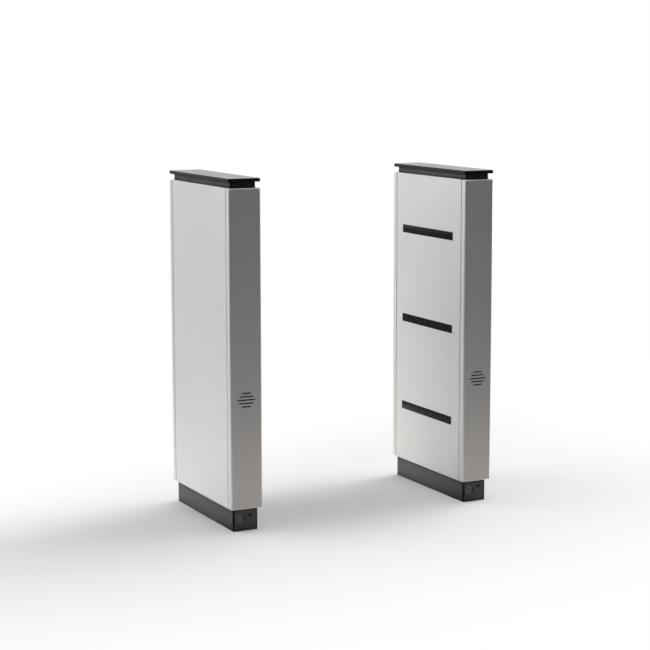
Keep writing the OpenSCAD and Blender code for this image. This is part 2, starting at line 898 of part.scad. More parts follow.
// Circuit board on spacers, with its connectors, relays, chip and capacitors
module circuit(length, height, bottom) {
    face = circuit_spacer - plate_face;
    half = length / 2;
    used_length = length - 2 * circuit_margin;
    connector_length = connector_share * used_length / connector_count;
    relay_length = relay_share * used_length / relay_count;
    translate([face + board_thickness, 0, bottom]) {
        block([-board_thickness, -half, 0], [0, half, height]);
        for (sy = [-1, 1], z = [circuit_margin, height - circuit_margin])
            translate([0, sy * (half - circuit_margin), z])
                rod_x(circuit_spacer_radius, -circuit_spacer - board_thickness, 0);
        row_along(connector_count, used_length / connector_count)
            block([0, -connector_length / 2, circuit_spacer],
                  [connector_height, connector_length / 2, circuit_spacer + connector_depth]);
        translate([0, 0, height / 3]) row_along(relay_count, used_length / relay_count)
            block([0, -relay_length / 2, 0], [relay_depth, relay_length / 2, relay_height]);
        translate([0, 0, 2 * height / 3]) {
            block([0, -chip_size / 2, -chip_size / 2], [chip_depth, chip_size / 2, chip_size / 2]);
            row_along(2, half) rod_x(can_radius, 0, can_height);
        }
    }
}

module power_supply() {
    translate([-plate_face, supply_front, supply_bottom]) difference() {
        cube([supply_depth, supply_length, supply_height]);
        for (i = [0:vent_count - 1])
            translate([supply_depth, supply_length / 2,
                       supply_height / 2 + (i - (vent_count - 1) / 2) * vent_pitch])
                cube([2 * supply_wall, vent_length, vent_width], center = true);
    }
}

// Row of stepped terminals
module terminal_row() {
    translate([-plate_face, terminal_front, terminal_bottom]) {
        cube([terminal_gap, terminal_count * terminal_pitch, terminal_height]);
        for (i = [0:terminal_count - 1]) translate([0, i * terminal_pitch + terminal_gap / 2, 0]) {
            width = terminal_pitch - terminal_gap;
            translate([0, 0, terminal_step])
                cube([terminal_depth, width, terminal_height - 2 * terminal_step]);
            cube([terminal_depth - terminal_step, width, terminal_height]);
        }
    }
}

// Upright wiring with one branch to each sensor rail
module wiring_loom() {
    x = loom_gap + loom_radius - plate_face;
    translate([x, loom_y, loom_bottom])
        cylinder(r = loom_radius, h = cabinet_top - loom_top_gap - loom_bottom);
    for (z = window_heights()) translate([0, loom_y, z])
        rod_x(branch_radius, x, post_inside_x - rail_wall - loom_gap);
}

module cable_grommet() {
    outer = cable_entry_radius + grommet_wall;
    difference() {
        union() {
            translate([0, 0, grommet_foot_gap])
                cylinder(r = outer, h = base_thickness - grommet_foot_gap + grommet_thickness);
            translate([0, 0, base_thickness]) cylinder(r = outer + grommet_flange, h = grommet_thickness);
        }
        translate([0, 0, -overrun])
            cylinder(r = cable_entry_radius, h = base_thickness + grommet_thickness + 2 * overrun);
    }
}

module earth_stud() {
    translate([earth_x, earth_y, base_thickness]) {
        cylinder(r = earth_radius, h = earth_height);
        cylinder(r = earth_nut_radius, h = earth_nut_height, $fn = 6);
        translate([0, 0, earth_nut_height]) cylinder(r = earth_washer_radius, h = earth_washer_height);
        translate([0, 0, earth_nut_height + earth_washer_height])
            cylinder(r = earth_nut_radius, h = earth_nut_height, $fn = 6);
    }
}

// Nodes of the left pedestal

module left_base_plate() color(steel) at_left() base_plate();
module left_plinth() color(black) at_left() plinth();
module left_front_post() color(steel) at_left() front_post();
module left_rear_post() color(steel) at_left() rear_post();
module left_head_plate() color(steel) at_left() head_plate();
module left_mounting_plate() color(steel) at_left() mounting_plate();
module left_front_cover() color(silver) at_left() front_cover();
module left_lock_keeper() color(steel) at_left() lock_keeper();
module left_speaker() color(black) at_left() speaker();
module left_front_mesh() color(black) at_left() mesh();
module left_rear_cover() color(silver) at_left() rear_cover();
module left_outer_panel() color(silver) at_left() mirror([1, 0, 0]) side_panel();
module left_inner_panel() color(silver) at_left() inner_panel();
module left_sensor_windows() color(dark_window) at_left() sensor_windows();
module left_sensor_rails() color(steel) at_left() sensor_rails();
module left_neck() color(black) at_left() neck();
module left_cap() color(black) at_left() lamp_cap();
module left_cap_seal() color(black) at_left() cap_seal();
module left_lock_housing() color(black) at_left() lock_housing();
module left_lock_barrel() color(black) at_left() lock_barrel();
module left_lock_cam() color(steel) at_left() lock_cam();
module left_driver_board() color(board_green) at_left()
    circuit(driver_length, driver_height, circuit_bottom);
module left_card_reader() color(black) at_left() card_reader();
module left_status_lamps() color(red) at_left() status_lamps();

// Nodes of the right pedestal

module right_base_plate() color(steel) at_right() base_plate();
module right_plinth() color(black) at_right() plinth();
module right_front_post() color(steel) at_right() front_post();
module right_rear_post() color(steel) at_right() rear_post();
module right_head_plate() color(steel) at_right() head_plate();
module right_mounting_plate() color(steel) facing_right() mounting_plate();
module right_front_cover() color(silver) at_right() front_cover();
module right_lock_keeper() color(steel) at_right() lock_keeper();
module right_speaker() color(black) at_right() speaker();
module right_front_mesh() color(black) at_right() mesh();
module right_rear_cover() color(silver) at_right() rear_cover();
module right_outer_panel() color(silver) at_right() side_panel();
module right_inner_panel() color(silver) facing_right() inner_panel();
module right_sensor_windows() color(dark_window) facing_right() sensor_windows();
module right_sensor_rails() color(steel) facing_right() sensor_rails();
module right_neck() color(black) at_right() neck();
module right_cap() color(black) at_right() cap();
module right_cap_seal() color(black) at_right() cap_seal();
module right_lock_housing() color(black) at_right() lock_housing();
module right_lock_barrel() color(black) at_right() lock_barrel();
module right_lock_cam() color(steel) at_right() lock_cam();
module right_controller_board() color(board_green) facing_right()
    circuit(controller_length, controller_height, circuit_bottom);
module right_power_supply() color(steel) facing_right() power_supply();

// Nodes that hold the same small pieces of both pedestals

module sensor_boards() color(board_green) {
    at_left() sensor_board_set();
    facing_right() sensor_board_set();
}

module sensor_lenses() color(dark_window) {
    at_left() sensor_lens_set();
    facing_right() sensor_lens_set();
}

module rear_meshes() color(black) {
    at_left() rotate([0, 0, 180]) mesh();
    at_right() rotate([0, 0, 180]) mesh();
}

module cover_nuts() color(steel) {
    at_left() rear_cover_nuts();
    at_right() rear_cover_nuts();
}

module panel_screws() color(steel) {
    at_left() both_sides() side_panel_screws();
    at_right() both_sides() side_panel_screws();
}

module neck_screws() color(black) {
    at_left() neck_screw_set();
    at_right() neck_screw_set();
}

module plinth_screws() color(black) {
    at_left() plinth_screw_set();
    at_right() plinth_screw_set();
}

module blanking_plugs() color(black) {
    at_left() blanking_plug();
    at_right() blanking_plug();
}

module cable_grommets() color(black) {
    at_left() cable_grommet();
    at_right() cable_grommet();
}

module earth_studs() color(brass) {
    at_left() earth_stud();
    at_right() earth_stud();
}

module terminal_blocks() color(pale_plastic) {
    at_left() terminal_row();
    facing_right() terminal_row();
}

module wiring_looms() color(black) {
    at_left() wiring_loom();
    facing_right() wiring_loom();
}

left_base_plate();
left_plinth();
left_front_post();
left_rear_post();
left_head_plate();
left_mounting_plate();
left_front_cover();
left_lock_keeper();
left_speaker();
left_front_mesh();
left_rear_cover();
left_outer_panel();
left_inner_panel();
left_sensor_windows();
left_sensor_rails();
left_neck();
left_cap();
left_cap_seal();
left_lock_housing();
left_lock_barrel();
left_lock_cam();
left_driver_board();
left_card_reader();
left_status_lamps();
right_base_plate();
right_plinth();
right_front_post();
right_rear_post();
right_head_plate();
right_mounting_plate();
right_front_cover();
right_lock_keeper();
right_speaker();
right_front_mesh();
right_rear_cover();
right_outer_panel();
right_inner_panel();
right_sensor_windows();
right_sensor_rails();
right_neck();
right_cap();
right_cap_seal();
right_lock_housing();
right_lock_barrel();
right_lock_cam();
right_controller_board();
right_power_supply();
sensor_boards();
sensor_lenses();
rear_meshes();
cover_nuts();
panel_screws();
neck_screws();
plinth_screws();
blanking_plugs();
cable_grommets();
earth_studs();
terminal_blocks();
wiring_looms();
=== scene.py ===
"""Looks of an optical turnstile: two slim pedestals on either side of a walking lane."""

import json
import logging
import math
from dataclasses import dataclass, field
from enum import Enum
from functools import cached_property
from typing import Callable, ClassVar, Mapping, Optional, Sequence

import bmesh
import bpy
from mathutils import Matrix, Vector
from mathutils.geometry import delaunay_2d_cdt


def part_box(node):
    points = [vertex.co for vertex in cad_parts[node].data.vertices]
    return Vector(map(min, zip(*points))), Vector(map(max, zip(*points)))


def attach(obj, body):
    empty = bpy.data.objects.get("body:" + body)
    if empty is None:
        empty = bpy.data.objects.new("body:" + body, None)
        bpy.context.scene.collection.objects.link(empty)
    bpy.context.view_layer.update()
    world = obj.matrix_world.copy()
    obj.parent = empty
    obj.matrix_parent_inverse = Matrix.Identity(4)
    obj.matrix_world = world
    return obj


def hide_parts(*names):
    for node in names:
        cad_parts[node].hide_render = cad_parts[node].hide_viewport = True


# One millimetre in metres; points nearer than CLOSE count as one; edges above CRISP_ANGLE stay crisp
MM = 0.001
CLOSE = 1e-7
CRISP_ANGLE = 35
ARC_STEPS = 8
FOLD_STEPS = 5
LOG = logging.getLogger("turnstile")
Point2 = tuple[float, float]
Triple = tuple[float, float, float]
Mesh = bmesh.types.BMesh
Vert = bmesh.types.BMVert
Tree = bpy.types.NodeTree
Node = bpy.types.Node
Socket = bpy.types.NodeSocket
Outputs = bpy.types.NodeOutputs
Piece = bpy.types.Object
Feeds = Mapping[object, object]


class Side(Enum):
    """Which pedestal a piece belongs to; the value is the sign of its place on X."""

    LEFT = -1
    RIGHT = 1

    def node(self, part: str) -> str:
        """Name of the CAD node that a part has in this pedestal."""
        return f"{self.name.lower()}_{part}"

    def box(self, part: str) -> tuple[Vector, Vector]:
        """Lowest and highest corner of a part of this pedestal in the CAD model."""
        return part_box(self.node(part))

    @property
    def lane(self) -> int:
        """The sign of the direction in which this pedestal's lane side faces."""
        return -self.value


class End(Enum):
    """Front or rear end of a pedestal; the value is the sign of its place on Y."""

    FRONT = -1
    REAR = 1


class Surface(Enum):
    """The relief that a finish has."""

    GRAIN = "grain"
    SPECKLE = "speckle"


# Shader nodes and the effects that finishes share


class Net:
    """Short ways to place and wire the nodes of one shader."""

    def __init__(self, tree: Tree) -> None:
        """Keeps the shader's nodes."""
        self.tree = tree

    def feed(self, node: Node, inputs: Feeds) -> Node:
        """Wires or sets a node's inputs.

        Args:
            node: the node.
            inputs: a socket to wire or a plain value to set, for each input's name or number.

        Returns:
            The node.
        """
        for label, value in inputs.items():
            if isinstance(value, Socket):
                self.tree.links.new(value, node.inputs[label])
            else:
                node.inputs[label].default_value = value
        return node

    def place(self, kind: str, inputs: Optional[Feeds] = None, **settings: object) -> Outputs:
        """Places a node.

        Args:
            kind: what follows ShaderNode in its type.
            inputs: what its inputs are fed.
            settings: its own settings, such as the operation.

        Returns:
            Its outputs.
        """
        node = self.tree.nodes.new(f"ShaderNode{kind}")
        for label, value in settings.items():
            setattr(node, label, value)
        return self.feed(node, inputs or {}).outputs

    def math(self, operation: str, *values: object) -> Socket:
        """The result of an operation on sockets and plain numbers."""
        return self.place("Math", dict(enumerate(values)), operation=operation)[0]

    def product(self, *values: object) -> Socket:
        """The product of two sockets or numbers."""
        return self.math("MULTIPLY", *values)

    def vector(self, operation: str, *values: object) -> Outputs:
        """The results of an operation on vectors."""
        return self.place("VectorMath", dict(enumerate(values)), operation=operation)

    def where(self, source: str = "Object") -> Socket:
        """One of the texture coordinates."""
        return self.place("TexCoord")[source]

    def parts(self, vector: Socket) -> Outputs:
        """A vector's parts, named X, Y and Z."""
        return self.place("SeparateXYZ", {0: vector})

    def noise(self, scale: object, detail: float, vector: Optional[Socket] = None,
              roughness: float = 0.5) -> Socket:
        """Noise between 0 and 1.

        Args:
            scale: its fineness.
            detail: how many finer layers it has.
            vector: where it is looked up; the object's own coordinates, if left out.
            roughness: how strong the finer layers are.

        Returns:
            The noise.
        """
        return self.place("TexNoise", {"Vector": vector or self.where(), "Scale": scale, "Detail": detail,
                                       "Roughness": roughness})["Fac"]

    def along(self, source: str, direction: Triple) -> Socket:
        """How far a texture coordinate lies along a direction, which is brought to unit length."""
        return self.vector("DOT_PRODUCT", self.where(source), Vector(direction).normalized())["Value"]

    def distance(self, point: Point2) -> Socket:
        """How far the shaded place lies from a point on the floor."""
        return self.vector("DISTANCE", self.where(), (*point, 0.0))["Value"]

    def ramp(self, value: Socket, start: float, end: object, low: float = 0.0, high: float = 1.0,
             kind: str = "LINEAR") -> Socket:
        """A slope between two levels.

        Args:
            value: what the slope runs over.
            start: the value where it starts.
            end: the value where it ends.
            low: the level up to the start.
            high: the level from the end on.
            kind: the slope's form.

        Returns:
            The result.
        """
        inputs = {"Value": value, "From Min": start, "From Max": end, "To Min": low, "To Max": high}
        return self.place("MapRange", inputs, interpolation_type=kind)["Result"]

    def soft(self, value: Socket, line: Point2, low: float = 0.0, high: float = 1.0) -> Socket:
        """A slope that starts and ends gently."""
        return self.ramp(value, *line, low, high, "SMOOTHSTEP")

    def cover(self, mask: Socket, base: Socket, over: object) -> Socket:
        """Lays a colour over another where a mask says so."""
        return self.place("Mix", {"Factor": mask, "A": base, "B": over}, data_type="RGBA")["Result"]

    def effect(self, group: Tree, **values: object) -> Outputs:
        """Places a shared effect with its own values."""
        return self.place("Group", values, node_tree=group)


class Effects:
    """Shader node groups that several finishes use, each built once."""

    @staticmethod
    def _open(name: str, inputs: Mapping[str, object], *results: str) -> tuple[Net, Outputs, Node]:
        """Makes an empty group with its sockets.

        Args:
            name: the group's name.
            inputs: each input's name and default value; a tuple is a colour.
            results: the outputs' names; the one named Color is a colour.

        Returns:
            Ways to fill the group, what its inputs give, and its output node.
        """
        tree = bpy.data.node_groups.new(name, "ShaderNodeTree")
        number, color = "NodeSocketFloat", "NodeSocketColor"
        for label, value in inputs.items():
            kind = color if isinstance(value, tuple) else number
            tree.interface.new_socket(name=label, in_out="INPUT", socket_type=kind).default_value = value
        for label in results:
            kind = color if label == "Color" else number
            tree.interface.new_socket(name=label, in_out="OUTPUT", socket_type=kind)
        return Net(tree), tree.nodes.new("NodeGroupInput").outputs, tree.nodes.new("NodeGroupOutput")

    @cached_property
    def grain(self) -> Tree:
        """Fine streaks that run upright, as a brushed or rolled sheet has.

        Returns:
            A group from Fineness, Stretch and Depth to Height and Mask.
        """
        net, given, out = self._open("sheet grain", {"Fineness": 900.0, "Stretch": 0.02, "Depth": 1.0},
                                     "Height", "Mask")
        parts = net.parts(net.where())
        squeezed = net.place("CombineXYZ", {"X": parts["X"], "Y": parts["Y"],
                                            "Z": net.product(parts["Z"], given["Stretch"])})
        fine = net.noise(given["Fineness"], detail=4.0, vector=squeezed[0], roughness=0.65)
        net.feed(out, {"Height": net.product(fine, given["Depth"]), "Mask": fine})
        return net.tree

    @cached_property
    def speckle(self) -> Tree:
        """Small soft bumps, as powder coat, cast plastic and rubber have.

        Returns:
            A group from Size and Depth to Height and Mask.
        """
        net, given, out = self._open("speckle", {"Size": 700.0, "Depth": 1.0}, "Height", "Mask")
        bumps = net.noise(given["Size"], detail=2.0)
        net.feed(out, {"Height": net.product(bumps, given["Depth"]), "Mask": bumps})
        return net.tree

    @cached_property
    def tone(self) -> Tree:
        """A slow drift between two tones of one colour.

        Returns:
            A group from Light, Dark and Size to Color.
        """
        net, given, out = self._open(
            "tone drift", {"Light": (0.8, 0.8, 0.8, 1.0), "Dark": (0.7, 0.7, 0.7, 1.0), "Size": 6.0}, "Color")
        drift = net.ramp(net.noise(given["Size"], detail=5.0), start=0.3, end=0.7)
        net.feed(out, {"Color": net.cover(drift, given["Dark"], given["Light"])})
        return net.tree

    @cached_property
    def edge(self) -> Tree:
        """A mask that is 1 along sharp edges, where handling polishes or bares a surface and where a painted
        highlight lightens them.

        Returns:
            A group from Width and Amount to Mask.
        """
        net, given, out = self._open("worn edge", {"Width": 0.0008, "Amount": 1.0}, "Mask")
        rounded = net.place("Bevel", {"Radius": given["Width"]}, samples=4)[0]
        match = net.vector("DOT_PRODUCT", rounded, net.place("NewGeometry")["Normal"])["Value"]
        net.feed(out, {"Mask": net.product(net.ramp(match, start=0.995, end=0.85), given["Amount"])})
        return net.tree

    @cached_property
    def bend(self) -> Tree:
        """A mask that is 1 where a surface turns a corner, as on folds and rounded edges, where finishes
        paint a highlight on the silver sheet and shade on the blacks.

        Returns:
            A group from Amount, Full (how flat the surface is where the mask is 1) and Upright (1 leaves
            out whatever slopes) to Mask.
        """
        net, given, out = self._open("rounded bend", {"Amount": 1.0, "Full": 0.94, "Upright": 0.0}, "Mask")
        parts = net.parts(net.vector("ABSOLUTE", net.where("Normal"))[0])
        flattest = net.math("MAXIMUM", net.math("MAXIMUM", parts["X"], parts["Y"]), parts["Z"])
        turned = net.ramp(flattest, start=0.998, end=given["Full"])
        level = net.ramp(net.product(parts["Z"], given["Upright"]), start=0.0, end=0.4, low=1.0, high=0.0)
        net.feed(out, {"Mask": net.product(net.product(turned, level), given["Amount"])})
        return net.tree

    @cached_property
    def painted_shade(self) -> Tree:
        """A mask that is 1 deep in seams and narrow gaps, where ambient occlusion finds them, for painted
        shade.

        Returns:
            A group from Reach and Amount to Mask.
        """
        net, given, out = self._open("seam grime", {"Reach": 0.003, "Amount": 1.0}, "Mask")
        clear = net.place("AmbientOcclusion", {"Distance": given["Reach"]}, samples=6)["AO"]
        net.feed(out, {"Mask": net.product(net.ramp(clear, start=0.97, end=0.68), given["Amount"])})
        return net.tree

    @cached_property
    def dust(self) -> Tree:
        """A mask of thin dust on faces that look upwards.

        Returns:
            A group from Amount to Mask.
        """
        net, given, out = self._open("dust film", {"Amount": 0.2}, "Mask")
        upward = net.ramp(net.parts(net.place("NewGeometry")["Normal"])["Z"], start=0.35, end=1.0)
        specks = net.noise(scale=120.0, detail=6.0)
        net.feed(out, {"Mask": net.product(net.product(upward, specks), given["Amount"])})
        return net.tree


@dataclass(frozen=True)
class Finish:
    """A procedural material: colour that drifts, relief, roughness that varies, edges lightened partly by
    wear and partly by a painted highlight, painted highlight and shade on bends, painted shade in seams, and
    thin dust.
    """

    name: str
    light: Triple
    dark: Triple
    roughness: float
    metallic: float = 0.0
    roughness_spread: float = 0.08
    relief: Surface = Surface.SPECKLE
    fineness: float = 900.0
    stretch: float = 0.02
    bump: float = 0.05
    bump_depth: float = 0.2 * MM
    drift_size: float = 6.0
    # Edge colour: partly wear and partly a painted highlight along sharp edges.
    edge: float = 0.0
    edge_wear_and_sheen_color: Triple = (0.85, 0.85, 0.85)
    edge_width: float = 0.8 * MM
    # Bend colour is painted light: a painted highlight on the silver sheet's folds, painted shade on the
    # rounded corners of the black finishes.
    bend: float = 0.0
    painted_bend_color: Triple = (0.8, 0.8, 0.8)
    bend_metallic: float = 0.0
    bend_full: float = 0.94
    bend_upright: float = 0.0
    # Painted shade: the colour is darkened in seams and narrow gaps, where ambient occlusion finds them.
    painted_shade: float = 0.0
    painted_shade_reach: float = 4.5 * MM
    painted_shade_color: Triple = (0.03, 0.029, 0.028)
    dust: float = 0.0
    dust_color: Triple = (0.55, 0.54, 0.52)
    coat: float = 0.0
    coat_roughness: float = 0.06
    specular: float = 0.5

    def build(self, effects: Effects) -> bpy.types.Material:
        """Makes the material.

        Args:
            effects: the shared node groups.

        Returns:
            The finished material.
        """
        material = bpy.data.materials.new(self.name)
        material.use_nodes = True
        net = Net(material.node_tree)
        metallic: object = self.metallic
        color = net.effect(effects.tone, Light=(*self.light, 1), Dark=(*self.dark, 1),
                           Size=self.drift_size)["Color"]
        # Paints the bends: a lighter colour there is a painted highlight, a darker one painted shade.
        if self.bend > 0:
            turned = net.effect(effects.bend, Amount=self.bend, Full=self.bend_full,
                                Upright=self.bend_upright)["Mask"]
            color = net.cover(turned, color, (*self.painted_bend_color, 1))
            metallic = net.ramp(turned, 0.0, 1.0, self.metallic, self.bend_metallic)
        # Lays over the colour: edges lightened partly by wear and partly by a painted highlight, painted
        # shade in seams and gaps, and dust.
        for effect, values, over in (
                (effects.edge, {"Amount": self.edge, "Width": self.edge_width}, self.edge_wear_and_sheen_color),
                (effects.painted_shade, {"Amount": self.painted_shade, "Reach": self.painted_shade_reach}, self.painted_shade_color),
                (effects.dust, {"Amount": self.dust}, self.dust_color)):
            if values["Amount"] > 0:
                color = net.cover(net.effect(effect, **values)["Mask"], color, (*over, 1))
        if self.relief is Surface.GRAIN:
            relief = net.effect(effects.grain, Fineness=self.fineness, Stretch=self.stretch)
        else:
            relief = net.effect(effects.speckle, Size=self.fineness)
        rough = net.ramp(relief["Mask"], start=0.3, end=0.7, low=self.roughness - self.roughness_spread,
                         high=self.roughness + self.roughness_spread)
        bump = net.place("Bump", {"Strength": self.bump, "Distance": self.bump_depth,
                                  "Height": relief["Height"]})
        net.feed(net.tree.nodes["Principled BSDF"], {
            "Base Color": color, "Metallic": metallic, "Roughness": rough, "Normal": bump["Normal"],
            "Specular IOR Level": self.specular, "Coat Weight": self.coat,
            "Coat Roughness": self.coat_roughness})
        return material


@dataclass
class Palette:
    """Every finish of the turnstile, keyed by the record's material slot."""

    FINISHES: ClassVar[dict[str, Finish]] = {
        # The silver sheet's lighter folds are a painted highlight, its lighter edges partly wear and partly a
        # painted highlight, its seams painted shade.
        "cabinet_steel": Finish("satin silver sheet", (0.70, 0.694, 0.688), (0.676, 0.67, 0.664), 0.42,
            metallic=0.08, roughness_spread=0.05, relief=Surface.GRAIN, fineness=1400, stretch=0.012,
            bump=0.10, drift_size=3.0, edge=0.35, edge_wear_and_sheen_color=(0.85, 0.85, 0.84), edge_width=0.6 * MM,
            specular=0.20, bend=1.0, painted_bend_color=(0.86, 0.85, 0.84), bend_metallic=0.7, painted_shade=1.0),
        "frame_steel": Finish("dark primed sheet", (0.07, 0.071, 0.074), (0.05, 0.051, 0.054), 0.50,
            metallic=0.2, roughness_spread=0.12, fineness=90, drift_size=30, edge=0.3,
            edge_wear_and_sheen_color=(0.30, 0.31, 0.32)),
        # The near black bend colour is painted shade on the rounded corners; the lighter edges are partly
        # wear and partly a painted highlight.
        "black_paint": Finish("black powder coat", (0.06, 0.06, 0.061), (0.05, 0.05, 0.051), 0.50,
            bump=0.22, drift_size=9, edge=0.5, edge_wear_and_sheen_color=(0.16, 0.16, 0.16), dust=1.0, specular=0.58,
            bend=1.0, painted_bend_color=(0.008, 0.008, 0.008), bend_metallic=1.0, bend_full=0.985,
            bend_upright=1.0),
        # The near black bend colour is painted shade on the rounded edges.
        "gloss_black": Finish("polished black", (0.014, 0.014, 0.015), (0.01, 0.01, 0.011), 0.24,
            roughness_spread=0.03, fineness=400, bump=0.02, edge=0.25, edge_wear_and_sheen_color=(0.10, 0.10, 0.10),
            dust=0.02, specular=0.42, bend=1.0, painted_bend_color=(0.006, 0.006, 0.006), bend_metallic=1.0,
            bend_full=0.985),
        "dark_window": Finish("dark filter plastic", (0.018, 0.017, 0.018), (0.014, 0.013, 0.014), 0.22,
            roughness_spread=0.03, fineness=300, bump=0.02, edge=0.3, edge_wear_and_sheen_color=(0.07, 0.07, 0.07),
            specular=0.08),
        "dark_lock": Finish("black lock metal", (0.15, 0.15, 0.152), (0.13, 0.13, 0.132), 0.45,
            metallic=0.1, bump=0.10, edge=0.25, edge_wear_and_sheen_color=(0.25, 0.25, 0.25), edge_width=0.5 * MM),
        "dark_screw": Finish("black oxide steel", (0.01, 0.01, 0.011), (0.006, 0.006, 0.007), 0.45,
            metallic=0.1, fineness=1500, bump=0.10, edge=0.3, edge_wear_and_sheen_color=(0.06, 0.06, 0.06),
            edge_width=0.3 * MM, specular=0.2),
        "screw_steel": Finish("bright zinc", (0.70, 0.70, 0.68), (0.58, 0.59, 0.60), 0.28, metallic=1.0,
            fineness=1500, bump=0.08, edge=0.4),
        "mesh_metal": Finish("black speaker mesh", (0.02, 0.02, 0.021), (0.012, 0.012, 0.013), 0.6,
            bump=0.9),
        "speaker_plastic": Finish("black cone paper", (0.04, 0.039, 0.038), (0.026, 0.026, 0.025), 0.7,
            fineness=1200, bump=0.5),
        "rubber": Finish("black rubber", (0.03, 0.03, 0.03), (0.02, 0.02, 0.02), 0.75, fineness=1500,
            bump=0.35, dust=0.1),
        "brass": Finish("turned brass", (0.80, 0.62, 0.30), (0.66, 0.48, 0.22), 0.28, metallic=1.0,
            fineness=1200, bump=0.10, drift_size=60, edge=0.4, edge_wear_and_sheen_color=(0.92, 0.78, 0.48)),
        "circuit_board": Finish("green board", (0.05, 0.26, 0.13), (0.03, 0.19, 0.10), 0.32, bump=0.15,
            drift_size=70),
        "supply_case": Finish("plain aluminium case", (0.76, 0.76, 0.77), (0.68, 0.68, 0.69), 0.36,
            metallic=0.95, relief=Surface.GRAIN, fineness=1100, bump=0.10),
        "grey_plastic": Finish("grey terminal plastic", (0.56, 0.58, 0.56), (0.50, 0.52, 0.50), 0.5,
            fineness=1500, bump=0.15),
        "cable_sheath": Finish("black cable sheath", (0.035, 0.035, 0.036), (0.025, 0.025, 0.026), 0.5,
            fineness=500, bump=0.3),
        "reader_plastic": Finish("black reader housing", (0.06, 0.06, 0.062), (0.045, 0.045, 0.046), 0.5,
            fineness=1500, bump=0.25),
        "red_lens": Finish("clear red lens", (0.42, 0.03, 0.022), (0.34, 0.02, 0.016), 0.12, fineness=300,
            bump=0.02, coat=0.6),
    }

    effects: Effects
    made: dict[str, bpy.types.Material] = field(default_factory=dict)

    def get(self, slot: str) -> bpy.types.Material:
        """Gives the material of a slot, built once.

        Args:
            slot: the record's material slot.

        Returns:
            The material.
        """
        if slot not in self.made:
            self.made[slot] = self.FINISHES[slot].build(self.effects)
        return self.made[slot]


# Mesh making


@dataclass(frozen=True)
class Opening:
    """A hole with round corners in a flat stretch of sheet, measured along the stretch from its middle."""

    along: float
    height: float
    half_length: float
    half_height: float
    radius: float
    chamfer: float = 0.0

    def loop(self, grow: float) -> list[Point2]:
        """The hole's outline.

        Args:
            grow: how much wider the outline is drawn, such as for a chamfer's mouth.

        Returns:
            Points in order round the hole.
        """
        radius = self.radius + grow
        points: list[Point2] = []
        for quarter, (sx, sz) in enumerate(((1, 1), (-1, 1), (-1, -1), (1, -1))):
            for step in range(ARC_STEPS + 1):
                angle = math.pi / 2 * (quarter + step / ARC_STEPS)
                point = (self.along + sx * (self.half_length - self.radius) + radius * math.cos(angle),
                         self.height + sz * (self.half_height - self.radius) + radius * math.sin(angle))
                if not points or math.dist(points[-1], point) > CLOSE:
                    points.append(point)
        return points[:-1] if math.dist(points[0], points[-1]) < CLOSE else points

    def holds(self, point: Point2) -> bool:
        """Tells whether a point lies inside the hole's widest outline.

        Args:
            point: place along the stretch and height.

        Returns:
            True if it does.
        """
        corner = self.radius + self.chamfer
        dx = abs(point[0] - self.along) - (self.half_length - self.radius)
        dz = abs(point[1] - self.height) - (self.half_height - self.radius)
        return max(dx, dz) < corner and (min(dx, dz) <= 0 or math.hypot(dx, dz) < corner)


def round_hole(along: float, height: float, radius: float, chamfer: float) -> Opening:
    """A round opening."""
    return Opening(along, height, radius, radius, radius, chamfer)


@dataclass(frozen=True)
class Station:
    """A place on a sheet's outline, with its outward normal."""

    x: float
    y: float
    nx: float
    ny: float


@dataclass(frozen=True)
class Row:
    """A line along the sheet at one height, set in from the outline or held inside a limit."""

    inset: float
    z: float
    limit: Optional[Point2] = None

    def at(self, place: Station) -> Vector:
        """Finds the point that this line has at a station.

        Args:
            place: the station.

        Returns:
            The point.
        """
        x, y = place.x - place.nx * self.inset, place.y - place.ny * self.inset
        if self.limit:
            x = max(-self.limit[0], min(self.limit[0], x))
            y = max(-self.limit[1], min(self.limit[1], y))
        return Vector((x, y, self.z))


def arc_stations(centre: Point2, radius: float, turn: Point2, steps: int = ARC_STEPS) -> list[Station]:
    """Stations round a corner.

    Args:
        centre: the corner's centre.
        radius: the corner's radius.
        turn: first and last angle in degrees.
        steps: pieces in the corner.

    Returns:
        The stations in order.
    """
    found = []
    for step in range(steps + 1):
        angle = math.radians(turn[0] + (turn[1] - turn[0]) * step / steps)
        c, s = math.cos(angle), math.sin(angle)
        found.append(Station(centre[0] + radius * c, centre[1] + radius * s, c, s))
    return found


def tight_corner(inner: Point2, radius: float, sheet: float, turn: Point2) -> list[Station]:
    """Stations round a fold that is tighter outside than the sheet is thick, so that it is sharp inside.

    Args:
        inner: the inner corner.
        radius: the fold's outer radius.
        sheet: the sheet's thickness.
        turn: first and last angle in degrees.

    Returns:
        The stations in order; at the sheet's thickness all of them meet in the inner corner.
    """
    middle = math.radians(sum(turn) / 2)
    push = (sheet - radius) * math.sqrt(2)
    centre = inner[0] + push * math.cos(middle), inner[1] + push * math.sin(middle)
    first, last = arc_stations(inner, sheet, turn, steps=1)
    return [first, *(Station(s.x, s.y, (s.x - inner[0]) / sheet, (s.y - inner[1]) / sheet)
                     for s in arc_stations(centre, radius, turn, FOLD_STEPS)), last]


def bent_rows(low: float, high: float, bend: float, depth: float, floor: Optional[Point2] = None,
              ceiling: Optional[Point2] = None, steps: int = FOLD_STEPS) -> list[Row]:
    """Lines up a sheet whose lower and upper edges are folded inwards.

    Args:
        low: height of the sheet's underside.
        high: height of the sheet's top.
        bend: outer radius of the folds.
        depth: how far inside the outer face this surface lies.
        floor: half sizes inside which the lower fold ends, or none.
        ceiling: half sizes inside which the upper fold ends, or none.
        steps: pieces in a fold.

    Returns:
        The lines from the bottom to the top.
    """
    reach = bend - depth
    rows = [Row(bend, low + depth, floor)] if floor else []
    for edge, inward, order in ((low, 1, range(steps, -1, -1)), (high, -1, range(steps + 1))):
        for step in order:
            angle = math.pi / 2 * step / steps
            rows.append(Row(bend - reach * math.cos(angle), edge + inward * (bend - reach * math.sin(angle))))
    if ceiling:
        rows.append(Row(bend, high - depth, ceiling))
    return rows


